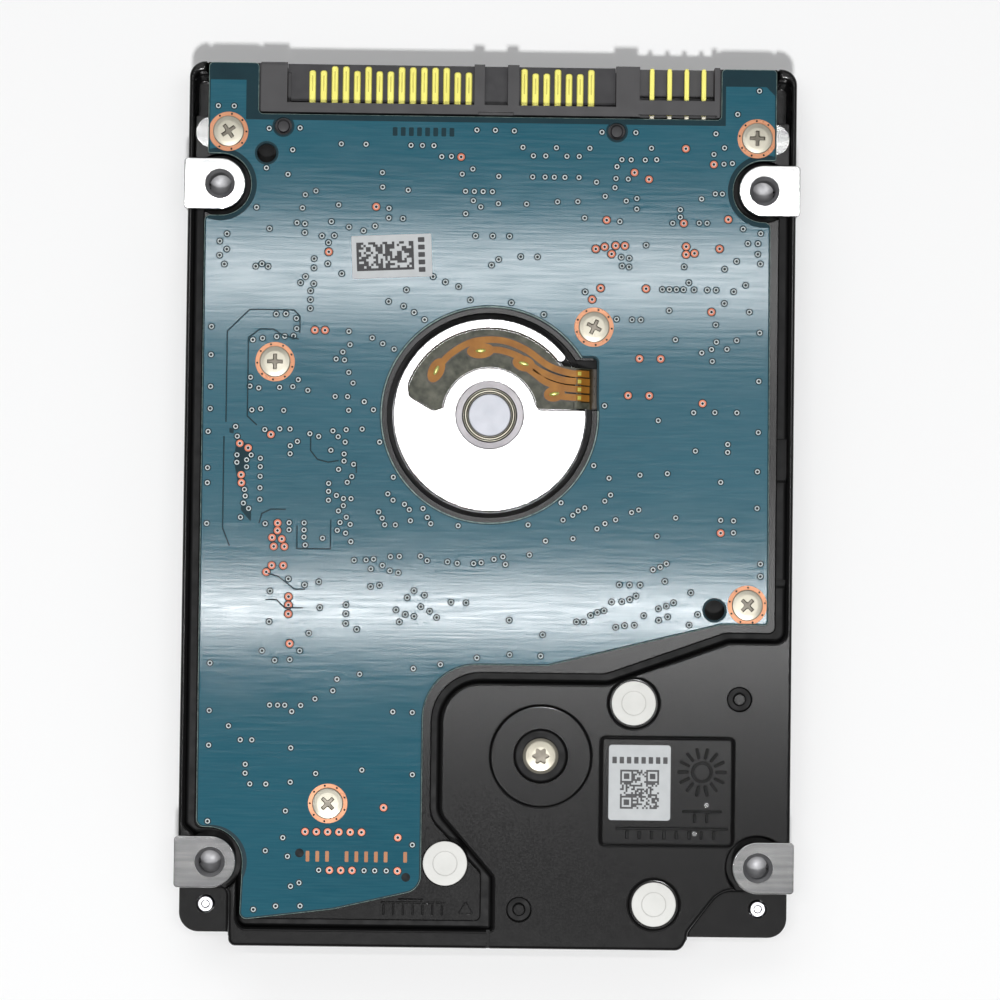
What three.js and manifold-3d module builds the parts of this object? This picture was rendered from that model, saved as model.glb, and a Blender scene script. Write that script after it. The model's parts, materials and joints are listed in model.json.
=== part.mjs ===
// A 2.5-inch hard disk drive, lying on its cover with the circuit board side up, made of
// separate pieces: a die-cast base, a pressed cover, the board with its edge connector, the
// spindle with its platter, and the head actuator with its voice-coil motor.
//
// Millimetres, +Z up. Z = 0 is the outer face of the cover and Z = 9.5 the machined mounting
// pads. +Y points to the connector end, and the origin is under the middle of the drive.
import * as THREE from "three";
import { mergeVertices } from "three/addons/utils/BufferGeometryUtils.js";
import Module from "manifold-3d";

const wasm = await Module();
wasm.setup();

// ---- Driving dimensions ----
const WIDTH = 69.85;
const LENGTH = 100;
const HEIGHT = 9.5;
const BODY_WIDTH = 69; // the casting between its mounting pads
const FLANGE_END = -49; // the two corner flanges stop short of the far end

// Heights of the outside faces of the casting and board.
const COVER_TOP = 0.6;
const GASKET_TOP = 1.0;
const FLANGE = 5.2;
const POCKET = 6.8;
const GROOVE = 7.2;
const LEDGE = 8.2;
const BOARD_TOP = 9.0;
const RIM = 9.0;

// Heights inside the sealed chamber, counted from the cover.
const FLOOR = 6.0;
const DEEP_FLOOR = 7.6;

// Mounting holes of the form factor: bottom pattern 61.72 x 76.6, side holes 3 below the pads.
const PAD_X = 61.72 / 2;
const PAD_Y = [36, -40.6];
const PAD_RADIUS = 2.9;
const MOUNT_HOLE = 1.3;
const MOUNT_DEPTH = 3.2;
const SIDE_HOLE_Z = HEIGHT - 3;
const SIDE_HOLE_DEPTH = 2.4;
const SIDE_HOLE = 1.5;
const SINK_RADIUS = 1.7;
const SINK_DEPTH = 0.4;
const PAD_FOOT = 3.2;
const PAD_CLEARANCE = 3.7;

// Axes of the two turning assemblies and the latch.
const SPINDLE = [0, 10.2];
const PIVOT = [6.25, -28.3];
const LATCH = [24.3, -38.6];
const PARKED = 155.8; // direction of the arms, in degrees from +X, with the heads on the ramp
const COIL_TURN = 161.2; // from the arms round to the middle of the coil

// Platter and the hub that it is clamped to.
const PLATTER_RADIUS = 32.5;
const PLATTER_BORE = 10;
const PLATTER_LOW = 3.2;
const PLATTER_HIGH = 3.835;
const HUB_RADIUS = 9.8;
const HUB_FLANGE_RADIUS = 12.2;
const WELL_RADIUS = 33.2;

// Motor bracket, the bare metal disc in the round cut-out of the board.
const BRACKET_RADIUS = 10.9;
const BRACKET_FLOOR = 8.0;
const BRACKET_FACE = 8.9;
const FLEX_SEAT = 8.4;
const MOTOR_BORE = 11.05;
const MOTOR_GAP_RADIUS = 11.65;
const MOTOR_OPENING = 12.2; // in the board
const MOTOR_WALL_RADIUS = 13.4;
const CRESCENT = [5.3, 9.9]; // radii of the recess for the flexible circuit
const CRESCENT_TURN = [5, 168]; // from and to, in degrees
const FLEX_EXIT = [10.85, 16.6]; // outlet of the flexible circuit, along Y
const FLEX_BAND = [11.4, 15.5]; // the flexible circuit in it
const STATOR_TEETH = 9;

// Fasteners: middle and turn in degrees.
const BOARD_SCREWS = [
  [-30, 42, 35],
  [30, 42, 0],
  [-24.35, 15.9, 0],
  [11.7, 20.3, -25],
  [29.4, -11, 45],
  [-17.7, -33.9, 45],
];
const COVER_SCREWS = [
  [-31.5, -45.5],
  [31.2, -45.4],
  [-31.3, -17],
  [31.3, -17],
  [-31.3, 46.4],
  [31.3, 46.4],
];
const SCREW_HEAD = 1.75;
const BOSS_RADIUS = 2.3;
const BOARD_SCREW_HOLE = 0.95;
const COVER_SCREW_HOLE = 1.05;
const DIMPLE_RADIUS = 2.9;
const PIVOT_DIMPLE = 3.4;

// Round paper seals on the outside of the casting.
const SEALS = [
  [16.7, -22.2],
  [19.2, -44.85],
  [-4.4, -40.5],
];
const SEAL_RADIUS = 2.5;
const SEAL_SEAT = 8.7;

// Plain area of the casting over the actuator.
const LABEL_FIELD = [13, -38.3, 28.1, -26];
const LABEL_FLOOR = 8.75;
const LOCATION_MARKS = [
  [28.65, -21.65],
  [4, -45.6],
];
const PIVOT_SEAT = 8;
const PIVOT_HOLE = 1.3;

// Cover, its label and the gasket's distances from the chamber's edge.
const COVER_INSET = 0.1;
const COVER_LABEL = [-27, -38, 27, 38];
const LABEL_RECESS = 0.15;
const GASKET_INNER = 0.3;
const GASKET_OUTER = 1.0;

// Board holes [x, y, radius] and label.
const BOARD_HOLES = [
  [-25.65, 39.6, 1.1],
  [25.7, -11.6, 1.15],
  [-23.8, 42.7, 1.0],
  [14.05, 42.6, 1.0],
];
const BOARD_LABEL = { x: -11.3, y: 28.05, width: 9.05, height: 4.85, turn: 2.7 };
const HEAD_SLOT = [-20.9, -42.2, -8.9, -36.2];

// Actuator: magnet sector, coil and bearing sleeve.
const YOKE = { inner: 7.5, outer: 18, from: 260, to: 340 };
const COIL = { low: 2.6, high: 4.4, inner: 8.6, outer: 16.4, half: 18 };
const SLEEVE_RADIUS = 4.6;

// Edge connector.
const CONTACT_PITCH = 1.27;
const CONTACT_WIDTH = 0.78;
const POWER_START = -20.6;
const POWER_LONG = [2, 3, 5, 8, 9, 10, 11, 12];
const SIGNAL_START = 3.5;
const SIGNAL_LONG = [0, 3, 6];
const JUMPER_X = [18, 20, 21.95, 23.9];
const TONGUE_TOP = 7.6;
const HOUSING = [-26.4, 44.3, 3.6, 25.7, LENGTH / 2, 9.2];
const CONNECTOR_POCKET = [-27, 44.1, 3.4, 26.3, 51, RIM + 1];
const CARRIER = [44.7, 45.25]; // the hidden bar that holds a row of contacts together

// ---- Outlines: corners [x, y, radius], going round anticlockwise ----
const BODY_OUTLINE = [
  [BODY_WIDTH / 2, LENGTH / 2, 1.8],
  [-BODY_WIDTH / 2, LENGTH / 2, 1.8],
  [-BODY_WIDTH / 2, FLANGE_END, 1.8],
  [-28.7, FLANGE_END, 0.3],
  [-28.7, -LENGTH / 2, 0.8],
  [22.3, -LENGTH / 2, 1.2],
  [23, FLANGE_END, 0.3],
  [BODY_WIDTH / 2, FLANGE_END, 1.8],
];
const BOARD_OUTLINE = [
  [32.2, 49.9, 0.5],
  [25.9, 49.9, 0.5],
  [25.9, 44.1, 0.5],
  [-26.6, 44.1, 0.5],
  [-26.6, 49.9, 0.5],
  [-32.3, 49.9, 0.5],
  [-32.3, 40.2, 0.3],
  [-26.7, 40.2, 4.1],
  [-26.7, 31.8, 4.1],
  [-32.6, 31.8, 0.7],
  [-32.5, -36.7, 0.9],
  [-27.1, -36.7, 3.9],
  [-27.5, -47.1, 0.8],
  [-17, -45.8, 0],
  [-7.1, -43.5, 2],
  [-7.1, -18.1, 6],
  [6.9, -18.1, 1],
  [26.5, -13.25, 1.5],
  [31.8, -13.25, 0.5],
  [31.6, 31.8, 0.7],
  [26.7, 31.8, 4.1],
  [26.7, 40.2, 4.1],
  [32.2, 40.2, 0.3],
];
// The ledge that the board's edge rests on, and the far side of the groove around it.
const LEDGE_OUTLINE = [
  [32.3, 51, 0],
  [-32.4, 51, 0],
  [-32.4, 43.9, 0],
  [-33.8, 43.9, 0.3],
  [-33.8, 39, 0],
  [-32.75, 39, 0],
  [-32.75, -36.9, 0.8],
  [-27.4, -36.9, 3.6],
  [-27.6, -47, 0.8],
  [-0.3, -47, 0.7],
  [-0.3, -41.6, 0.8],
  [-6.1, -35.5, 3],
  [-6.1, -19, 5.5],
  [13.5, -19, 3],
  [27, -14.2, 2],
  [32.7, -14.2, 0.8],
  [32.7, 39, 0],
  [33.8, 39, 0],
  [33.8, 43.9, 0.3],
  [32.3, 43.9, 0],
];
const GROOVE_OUTLINE = [
  [32.4, 51, 0],
  [-32.5, 51, 0],
  [-32.5, 48.7, 0],
  [-33.8, 48.7, 0.8],
  [-33.8, -36.5, 0.8],
  [-32.6, -37.5, 0],
  [-27.8, -37.6, 2.9],
  [-27.7, -47.9, 1],
  [0.9, -47.9, 0.3],
  [0.9, -42, 0.8],
  [-5.2, -35, 2.5],
  [-5.2, -20, 4.6],
  [13.8, -20, 2.5],
  [27.4, -15.1, 1.5],
  [33.8, -15.1, 1.2],
  [33.8, 48.7, 0.8],
  [32.4, 48.7, 0],
];
// The pocket under the board, for its chips.
const POCKET_OUTLINE = [
  [25.4, 44.2, 0],
  [-25.4, 44.2, 0],
  [-25.4, 30.5, 1],
  [-31.3, 30.5, 1],
  [-31.3, -35.2, 1],
  [-25.8, -35.2, 2.5],
  [-26.1, -45.6, 1],
  [-17.2, -44.4, 0],
  [-8.4, -42.4, 1.2],
  [-8.4, -16.8, 4.5],
  [7, -16.8, 1],
  [26.3, -12, 1.2],
  [30.4, -12, 0.6],
  [30.3, 30.5, 1],
  [25.4, 30.5, 1],
];
// The chamber beside the platter well, for the actuator and filters.
const CHAMBER_OUTLINE = [
  [31.8, 2, 1],
  [-31.8, 2, 1],
  [-31.8, -12.6, 1],
  [-27.1, -12.6, 1],
  [-27.1, -21.4, 1],
  [-31.8, -21.4, 1],
  [-31.8, -33.5, 2],
  [-26.2, -37.5, 1.5],
  [-26.2, -45.3, 2],
  [-4, -46.9, 2],
  [21.6, -46.9, 2],
  [26, -41.4, 1.5],
  [26, -36.6, 1.5],
  [31.8, -33, 2],
  [31.8, -21.4, 1],
  [27.1, -21.4, 1],
  [27.1, -12.6, 1],
  [31.8, -12.6, 1],
];
// The deeper part of the chamber, under the raised plain area of the casting.
const DEEP_OUTLINE = [
  [26, -20.5, 2],
  [-0.5, -22.6, 2],
  [-3.4, -26, 2],
  [-3.4, -34.5, 2],
  [2.4, -41, 1.5],
  [2.4, -46.9, 1],
  [21.6, -46.9, 2],
  [26, -41.4, 1.5],
  [26, -36.6, 1.5],
  [31, -33, 2],
  [31, -22.5, 2],
];

const GAP = 0.15; // clearance between round pieces that meet

// ---- Shapes ----
const CHORD_ERROR = 0.1;
const radians = (degrees) => (degrees * Math.PI) / 180;

// Steps that keep an arc within the chord error.
function arcSteps(radius, angle, least) {
  const step = 2 * Math.acos(1 - Math.min(CHORD_ERROR / radius, 0.5));
  return Math.max(least, Math.ceil(Math.abs(angle) / step));
}

function arcPoints(x, y, radius, from, to, least = 2) {
  const steps = arcSteps(radius, to - from, least);
  return Array.from({ length: steps + 1 }, (_, i) => {
    const angle = from + ((to - from) * i) / steps;
    return new THREE.Vector2(x + radius * Math.cos(angle), y + radius * Math.sin(angle));
  });
}

function circlePoints(x, y, radius) {
  return arcPoints(x, y, radius, 0, 2 * Math.PI, 10).slice(0, -1);
}

// A closed outline, with each corner rounded by an arc of its own radius.
function outlinePoints(corners) {
  return corners.flatMap(([x, y, radius = 0], i) => {
    const corner = new THREE.Vector2(x, y);
    if (!radius) return [corner];
    const before = corners.at(i - 1);
    const after = corners[(i + 1) % corners.length];
    const back = new THREE.Vector2(before[0] - x, before[1] - y).normalize();
    const on = new THREE.Vector2(after[0] - x, after[1] - y).normalize();
    const half = Math.acos(back.dot(on)) / 2;
    const middle = back.clone().add(on).normalize();
    const centre = corner.clone().addScaledVector(middle, radius / Math.sin(half));
    const reach = radius / Math.tan(half);
    const start = corner.clone().addScaledVector(back, reach).sub(centre).angle();
    const end = corner.clone().addScaledVector(on, reach).sub(centre).angle();
    const turn = Math.atan2(Math.sin(end - start), Math.cos(end - start));
    return arcPoints(centre.x, centre.y, radius, start, start + turn);
  });
}

// The same outline with every edge moved outwards by a distance, or inwards by a negative one.
function grown(corners, distance) {
  const edges = corners.map(([x, y], i) => {
    const next = corners[(i + 1) % corners.length];
    const along = new THREE.Vector2(next[0] - x, next[1] - y).normalize();
    return { x: x + along.y * distance, y: y - along.x * distance, along };
  });
  return corners.map(([, , radius = 0], i) => {
    const a = edges.at(i - 1);
    const b = edges[i];
    const bend = a.along.cross(b.along);
    const t = ((b.x - a.x) * b.along.y - (b.y - a.y) * b.along.x) / bend;
    const round = radius ? Math.max(radius + Math.sign(bend) * distance, 0.1) : 0;
    return [a.x + a.along.x * t, a.y + a.along.y * t, round];
  });
}

function rectangle(x0, y0, x1, y1, radius = 0) {
  return outlinePoints([
    [x1, y1, radius],
    [x0, y1, radius],
    [x0, y0, radius],
    [x1, y0, radius],
  ]);
}

// Part of a ring between two radii and two directions in degrees.
function sector(inner, outer, from, to, [x, y] = [0, 0]) {
  return [
    ...arcPoints(x, y, outer, radians(from), radians(to)),
    ...arcPoints(x, y, inner, radians(to), radians(from)),
  ];
}

// ---- Solids ----
function solidFrom(geometry) {
  const bare = geometry.clone();
  bare.deleteAttribute("normal");
  bare.deleteAttribute("uv");
  const merged = mergeVertices(bare, 1e-4);
  return new wasm.Manifold(
    new wasm.Mesh({
      numProp: 3,
      vertProperties: merged.attributes.position.array,
      triVerts: new Uint32Array(merged.index.array),
    }),
  );
}

function geometryFrom(solid) {
  const mesh = solid.getMesh();
  const geometry = new THREE.BufferGeometry();
  geometry.setAttribute("position", new THREE.BufferAttribute(mesh.vertProperties, 3));
  geometry.setIndex(new THREE.BufferAttribute(mesh.triVerts, 1));
  geometry.computeVertexNormals();
  return geometry;
}

const joined = (...solids) => solids.reduce((all, solid) => all.add(solid));
const cut = (body, ...solids) => solids.reduce((left, solid) => left.subtract(solid), body);

// A flat plate between two heights, with optional holes.
function plate(points, low, high, holes = []) {
  const shape = new THREE.Shape(points);
  shape.holes = holes.map((hole) => new THREE.Path(hole));
  const geometry = new THREE.ExtrudeGeometry(shape, { depth: high - low, bevelEnabled: false });
  return solidFrom(geometry.translate(0, 0, low));
}

function disc(x, y, radius, low, high) {
  return plate(circlePoints(x, y, radius), low, high);
}

function box(x0, y0, z0, x1, y1, z1) {
  const geometry = new THREE.BoxGeometry(x1 - x0, y1 - y0, z1 - z0);
  return solidFrom(geometry.translate((x0 + x1) / 2, (y0 + y1) / 2, (z0 + z1) / 2));
}

// A turned piece about its own Z axis, from a closed profile of [radius, height] points.
function turned(profile, x = 0, y = 0) {
  const points = profile.map(([radius, height]) => new THREE.Vector2(radius, height));
  if (THREE.ShapeUtils.isClockWise(points)) points.reverse();
  const onAxis = points[0].x === 0 && points.at(-1).x === 0;
  if (!onAxis) points.push(points[0].clone());
  const widest = Math.max(...points.map((point) => point.x));
  const geometry = new THREE.LatheGeometry(points, arcSteps(widest, 2 * Math.PI, 10));
  return solidFrom(geometry.rotateX(Math.PI / 2).translate(x, y, 0));
}

// A hole drilled along X from a side face.
function sideHole(side, y, z, radius, depth) {
  const geometry = new THREE.CylinderGeometry(radius, radius, depth + 1, 16);
  geometry.rotateZ(Math.PI / 2);
  const middle = side * (WIDTH / 2 + 0.5 - depth / 2);
  return solidFrom(geometry.translate(middle, y, z));
}

// ---- Materials ----
const material = (color, roughness, metalness) => ({ color, roughness, metalness });
const FINISH = {
  coated: material(0x17181a, 0.45, 0.3),
  bare: material(0xd9dadc, 0.3, 1),
  steel: material(0xb9bcc0, 0.35, 1),
  cover: material(0xc4c7ca, 0.38, 1),
  board: material(0x2a6079, 0.4, 0),
  blackPlastic: material(0x26262a, 0.55, 0),
  gold: material(0xd8c23a, 0.3, 1),
  nickel: material(0xd6d2bd, 0.28, 1),
  paper: material(0xeceae6, 0.7, 0),
  foam: material(0x1c1c1e, 0.9, 0),
  chip: material(0x16171a, 0.5, 0),
  polyimide: material(0xb06a18, 0.4, 0),
  copper: material(0xb5672f, 0.35, 1),
  mirror: material(0xe6e8ea, 0.08, 1),
  magnet: material(0xa9adb2, 0.3, 1),
  resin: material(0xd8cfae, 0.6, 0),
  felt: material(0xdedcd4, 0.95, 0),
  rubber: material(0x202020, 0.8, 0),
};

const drive = new THREE.Group();
const spindle = new THREE.Group();
const actuator = new THREE.Group();
const latch = new THREE.Group();
spindle.position.set(...SPINDLE, 0);
actuator.position.set(...PIVOT, 0);
actuator.rotation.z = radians(PARKED);
latch.position.set(...LATCH, 0);
drive.add(spindle, actuator, latch);

function piece(name, solid, finish, parent = drive) {
  const mesh = new THREE.Mesh(geometryFrom(solid), new THREE.MeshStandardMaterial(finish));
  mesh.name = name;
  parent.add(mesh);
}

// ---- Base casting ----
function padPoints(side, y) {
  const inner = side * (PAD_X - PAD_RADIUS);
  const corners = [
    [(side * WIDTH) / 2, y - PAD_RADIUS, 0.4],
    [(side * WIDTH) / 2, y + PAD_RADIUS, 0.4],
    [inner, y + PAD_RADIUS, PAD_RADIUS - 0.01],
    [inner, y - PAD_RADIUS, PAD_RADIUS - 0.01],
  ];
  return outlinePoints(side > 0 ? corners : corners.reverse());
}

// The four mounting pads with their blind holes: one in the face, one in the side.
function padSites() {
  return [-1, 1].flatMap((side) => PAD_Y.map((y) => [side, y]));
}

function mountHole(side, y) {
  const sink = HEIGHT - SINK_DEPTH;
  const bottom = HEIGHT - MOUNT_DEPTH;
  const profile = [
    [0, bottom - 0.6],
    [MOUNT_HOLE, bottom],
    [MOUNT_HOLE, sink],
    [SINK_RADIUS, HEIGHT],
    [SINK_RADIUS, HEIGHT + 1],
    [0, HEIGHT + 1],
  ];
  return turned(profile, side * PAD_X, y);
}

// The outside of the casting, as a solid block with its steps, grooves and pads.
function castingOutside() {
  const corners = [
    [-28.9, -43.5],
    [-36, -43.5],
    [-36, -51],
    [-28.9, -51],
  ];
  const curved = [
    [36, -51, 0],
    [36, -43.3, 0],
    [26.8, -43.3, 3],
    [23.2, -48, 1],
    [23, -51, 0],
  ];
  let body = plate(outlinePoints(BODY_OUTLINE), COVER_TOP, RIM);
  body = cut(
    body,
    plate(outlinePoints(corners), FLANGE, RIM + 1),
    plate(outlinePoints(curved), FLANGE, RIM + 1),
    plate(outlinePoints(GROOVE_OUTLINE), GROOVE, RIM + 1),
    box(0.2, -51, FLANGE, 0.95, -47.5, RIM + 1),
  );
  body = joined(body, plate(outlinePoints(LEDGE_OUTLINE), GROOVE, LEDGE));
  body = body.intersect(plate(outlinePoints(BODY_OUTLINE), 0, HEIGHT));
  for (const [side, y] of padSites())
    body = cut(body, disc(side * PAD_X, y, PAD_CLEARANCE, GROOVE, RIM + 1));
  for (const [side, y] of padSites())
    body = joined(body, plate(padPoints(side, y), PAD_FOOT, HEIGHT));
  return body;
}

// The pocket under the board, with bosses left for its screws and the wall round the motor.
function boardPocket() {
  const bosses = BOARD_SCREWS.map(([x, y]) => disc(x, y, BOSS_RADIUS, POCKET - 1, LEDGE));
  const wall = disc(...SPINDLE, MOTOR_WALL_RADIUS, POCKET - 1, LEDGE);
  return cut(plate(outlinePoints(POCKET_OUTLINE), POCKET, RIM + 1), wall, ...bosses);
}

// Room for the spindle motor: a bore through the floor, a wider step, and the flex outlet.
function motorRoom() {
  const [x, y] = SPINDLE;
  return joined(
    disc(x, y, MOTOR_BORE, FLOOR - 1, RIM + 1),
    disc(x, y, MOTOR_GAP_RADIUS, 7.4, RIM + 1),
    box(9, FLEX_EXIT[0], 7.4, 14.5, FLEX_EXIT[1], RIM + 1),
  );
}

// The sealed chamber, open towards the cover, with the step that the gasket lies in.
function chamber() {
  const [x, y] = SPINDLE;
  const room = (distance, low, high) =>
    joined(
      disc(x, y, WELL_RADIUS + distance, low, high),
      plate(outlinePoints(grown(CHAMBER_OUTLINE, distance)), low, high),
    );
  return joined(
    room(0, 0, FLOOR),
    plate(outlinePoints(DEEP_OUTLINE), FLOOR - 1, DEEP_FLOOR),
    room(GASKET_OUTER + 0.1, 0, GASKET_TOP),
  );
}

// Shallow features of the plain area: label field, pivot ring, seal seats and two location marks.
function plainAreaMarks() {
  const [x, y] = PIVOT;
  const seats = SEALS.slice(0, 2).map(([sx, sy]) => disc(sx, sy, 3.1, SEAL_SEAT, RIM + 1));
  const rings = LOCATION_MARKS.map(([mx, my]) =>
    cut(disc(mx, my, 1.35, 8.5, RIM + 1), disc(mx, my, 0.7, 8, RIM)),
  );
  return joined(
    plate(rectangle(...LABEL_FIELD, 0.2), LABEL_FLOOR, RIM + 1),
    disc(x, y, 5.9, 8.8, RIM + 1),
    disc(x, y, 3, PIVOT_SEAT, RIM + 1),
    disc(x, y, PIVOT_HOLE, DEEP_FLOOR - 1, RIM),
    ...seats,
    ...rings,
  );
}

function baseCasting() {
  const [x0, y0, x1, y1] = HEAD_SLOT;
  const coverHoles = COVER_SCREWS.flatMap(([x, y]) => [
    disc(x, y, DIMPLE_RADIUS + 0.1, 0, GASKET_TOP),
    disc(x, y, COVER_SCREW_HOLE, 0, y < -40 ? FLANGE + 1 : 4.9),
  ]);
  const boardHoles = BOARD_SCREWS.map(([x, y]) => disc(x, y, BOARD_SCREW_HOLE, 6.4, RIM));
  const sealBoss = disc(...SEALS[2], SEAL_RADIUS + 0.05, GROOVE, SEAL_SEAT);
  const discs = [-1, 1].map((side) => disc(side * 32, 42, 1.75, GROOVE, LEDGE));
  return cut(
    joined(castingOutside(), sealBoss, ...discs),
    boardPocket(),
    motorRoom(),
    chamber(),
    plainAreaMarks(),
    box(...CONNECTOR_POCKET),
    box(x0, y0, FLOOR - 1, x1, y1, POCKET + 1),
    ...coverHoles,
    ...boardHoles,
    ...padSites().map(([side, y]) => mountHole(side, y)),
    ...padSites().map(([side, y]) => sideHole(side, y, SIDE_HOLE_Z, SIDE_HOLE, SIDE_HOLE_DEPTH)),
  );
}

// ---- Cover side ----
function topCover() {
  const sites = COVER_SCREWS.map(([x, y]) => [x, y, DIMPLE_RADIUS]);
  sites.push([...PIVOT, PIVOT_DIMPLE]);
  const cups = sites.map(([x, y, radius]) => disc(x, y, radius, 0.3, GASKET_TOP));
  const dimples = sites.map(([x, y, radius]) => disc(x, y, radius - 0.4, -1, COVER_TOP));
  const holes = sites.map(([x, y]) => disc(x, y, 1.15, -1, 2));
  const sheet = plate(outlinePoints(grown(BODY_OUTLINE, -COVER_INSET)), 0, COVER_TOP);
  const field = plate(rectangle(...COVER_LABEL, 2), -1, LABEL_RECESS);
  return cut(joined(sheet, ...cups), field, ...dimples, ...holes);
}

function coverGasket() {
  const [x, y] = SPINDLE;
  const loop = (distance, low, high) =>
    joined(
      disc(x, y, WELL_RADIUS + distance, low, high),
      plate(outlinePoints(grown(CHAMBER_OUTLINE, distance)), low, high),
    );
  return cut(loop(GASKET_OUTER, COVER_TOP, GASKET_TOP), loop(GASKET_INNER, 0, GASKET_TOP + 1));
}

function coverLabel() {
  const [x0, y0, x1, y1] = COVER_LABEL;
  const sheet = plate(rectangle(x0 + 0.3, y0 + 0.3, x1 - 0.3, y1 - 0.3, 1.8), 0.03, LABEL_RECESS);
  return cut(sheet, disc(...PIVOT, PIVOT_DIMPLE + 0.2, -1, 1));
}

// A low flat-headed screw under the cover, its head inside a dimple.
function coverScrew(x, y, tip) {
  const profile = [
    [0, 0.15],
    [1.9, 0.15],
    [2.1, 0.3],
    [2.1, COVER_TOP],
    [0.9, COVER_TOP],
    [0.9, tip - 0.3],
    [0.6, tip],
    [0, tip],
  ];
  return cut(turned(profile, x, y), disc(x, y, 0.75, 0, 0.45));
}

// ---- Circuit board ----
function circuitBoard() {
  const [x, y] = SPINDLE;
  const screwHoles = BOARD_SCREWS.map(([sx, sy]) => circlePoints(sx, sy, 1.1));
  const holes = BOARD_HOLES.map(([hx, hy, radius]) => circlePoints(hx, hy, radius));
  const sheet = plate(outlinePoints(BOARD_OUTLINE), LEDGE, BOARD_TOP, [...screwHoles, ...holes]);
  const outlet = plate(rectangle(6, 10.8, MOTOR_OPENING, 16.9, 0.4), 0, HEIGHT);
  return cut(sheet, disc(x, y, MOTOR_OPENING, 0, HEIGHT), outlet);
}

// The foam sheet between the chips and the floor of the pocket.
function boardInsulator() {
  const sheet = plate(outlinePoints(grown(POCKET_OUTLINE, -0.5)), POCKET + 0.05, POCKET + 0.25);
  const bosses = BOARD_SCREWS.map(([x, y]) => disc(x, y, BOSS_RADIUS + 0.4, 0, HEIGHT));
  const [x0, y0, x1, y1] = HEAD_SLOT;
  return cut(
    sheet,
    disc(...SPINDLE, MOTOR_WALL_RADIUS + 0.4, 0, HEIGHT),
    box(x0 - 0.3, y0 - 0.3, 0, x1 + 0.3, y1 + 0.3, HEIGHT),
    box(9, FLEX_EXIT[0] - 0.3, 0, 14.5, FLEX_EXIT[1] + 0.3, HEIGHT),
    box(-30, 41, 0, 30, 46, HEIGHT),
    box(24, -20, 0, 35, -7.5, HEIGHT),
    ...bosses,
  );
}

// A pan-headed screw with a cross recess.
function boardScrew(x, y, turn) {
  const head = [
    [0, 6.7],
    [0.8, 6.7],
    [0.8, BOARD_TOP],
    [SCREW_HEAD, BOARD_TOP],
    [SCREW_HEAD, BOARD_TOP + 0.18],
    [1.35, BOARD_TOP + 0.38],
    [0, BOARD_TOP + 0.44],
  ];
  const slot = new THREE.BoxGeometry(1.6, 0.45, 1);
  const arms = [0, 90].map((angle) =>
    solidFrom(
      slot
        .clone()
        .rotateZ(radians(turn + angle))
        .translate(x, y, BOARD_TOP + 0.6),
    ),
  );
  return cut(turned(head, x, y), ...arms);
}

// ---- Edge connector ----
function connectorHousing() {
  const ear = (x) => joined(box(x - 1.5, 41.7, 7, x + 1.5, 44.6, 8.15), disc(x, 42.65, 0.85, 7, 8.9));
  return cut(
    joined(box(...HOUSING), ear(-23.8), ear(14.05)),
    box(-23.4, 45.4, TONGUE_TOP, -2.2, 51, HEIGHT), // over the power contacts
    box(-1, 45.4, TONGUE_TOP, 1.6, 51, HEIGHT), // key slot
    box(2.9, 45.4, TONGUE_TOP, 13.9, 51, HEIGHT), // over the signal contacts
    box(-24.4, 45.6, 4.2, 14.9, 51, 6.2), // under the tongue
    box(-24.4, 45.6, 5.2, -23.4, 51, HEIGHT - 1.2), // side of the tongue
    box(13.9, 45.6, 5.2, 14.9, 51, HEIGHT - 1.2),
    box(16.6, 46.2, TONGUE_TOP - 0.6, 25.1, 51, HEIGHT), // round the jumper pins
    box(-21.4, 44.2, TONGUE_TOP, -1.9, 45.5, TONGUE_TOP + 0.35),
    box(2.7, 44.2, TONGUE_TOP, 12.2, 45.5, TONGUE_TOP + 0.35),
    box(17.2, 44.2, 8.1, 24.7, 46.3, 8.75),
  );
}

// A row of flat contacts on one bar.
function contactRow(start, count, longOnes) {
  const high = TONGUE_TOP + 0.13;
  const blades = Array.from({ length: count }, (_, i) => {
    const x = start + i * CONTACT_PITCH;
    const tip = longOnes.includes(i) ? 49.8 : 49.3;
    return box(x - CONTACT_WIDTH / 2, CARRIER[0], TONGUE_TOP, x + CONTACT_WIDTH / 2, tip, high);
  });
  const last = start + (count - 1) * CONTACT_PITCH;
  return joined(box(start, CARRIER[0], TONGUE_TOP, last, CARRIER[1], high), ...blades);
}

function jumperPins() {
  const pins = JUMPER_X.map((x) => box(x - 0.28, 44.4, 8.17, x + 0.28, 49.9, 8.67));
  return joined(box(JUMPER_X[0], 44.8, 8.17, JUMPER_X.at(-1), 45.4, 8.67), ...pins);
}

// ---- Spindle motor: fixed side ----
// The recess in the bracket's face, or the flexible circuit in it when inset a little.
function crescentPoints(inset) {
  const [inner, outer] = CRESCENT;
  const [from, to] = CRESCENT_TURN;
  return sector(inner + inset, outer - inset, from + inset * 8, to - inset * 5, SPINDLE);
}

function motorBracket() {
  const [x, y] = SPINDLE;
  const profile = [
    [3.1, 5.2],
    [4.2, 5.2],
    [4.2, BRACKET_FLOOR],
    [10.25, BRACKET_FLOOR],
    [10.25, FLOOR],
    [BRACKET_RADIUS, FLOOR],
    [BRACKET_RADIUS, BRACKET_FACE],
    [3.8, BRACKET_FACE],
    [3.8, 8.7],
    [3.1, 8.7],
  ];
  return cut(
    turned(profile, x, y),
    plate(crescentPoints(0), FLEX_SEAT, HEIGHT),
    box(5.6, FLEX_EXIT[0], FLEX_SEAT, 12, FLEX_EXIT[1], HEIGHT),
    box(9.2, FLEX_EXIT[0], 7.5, 12, FLEX_EXIT[1], HEIGHT),
  );
}

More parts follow.
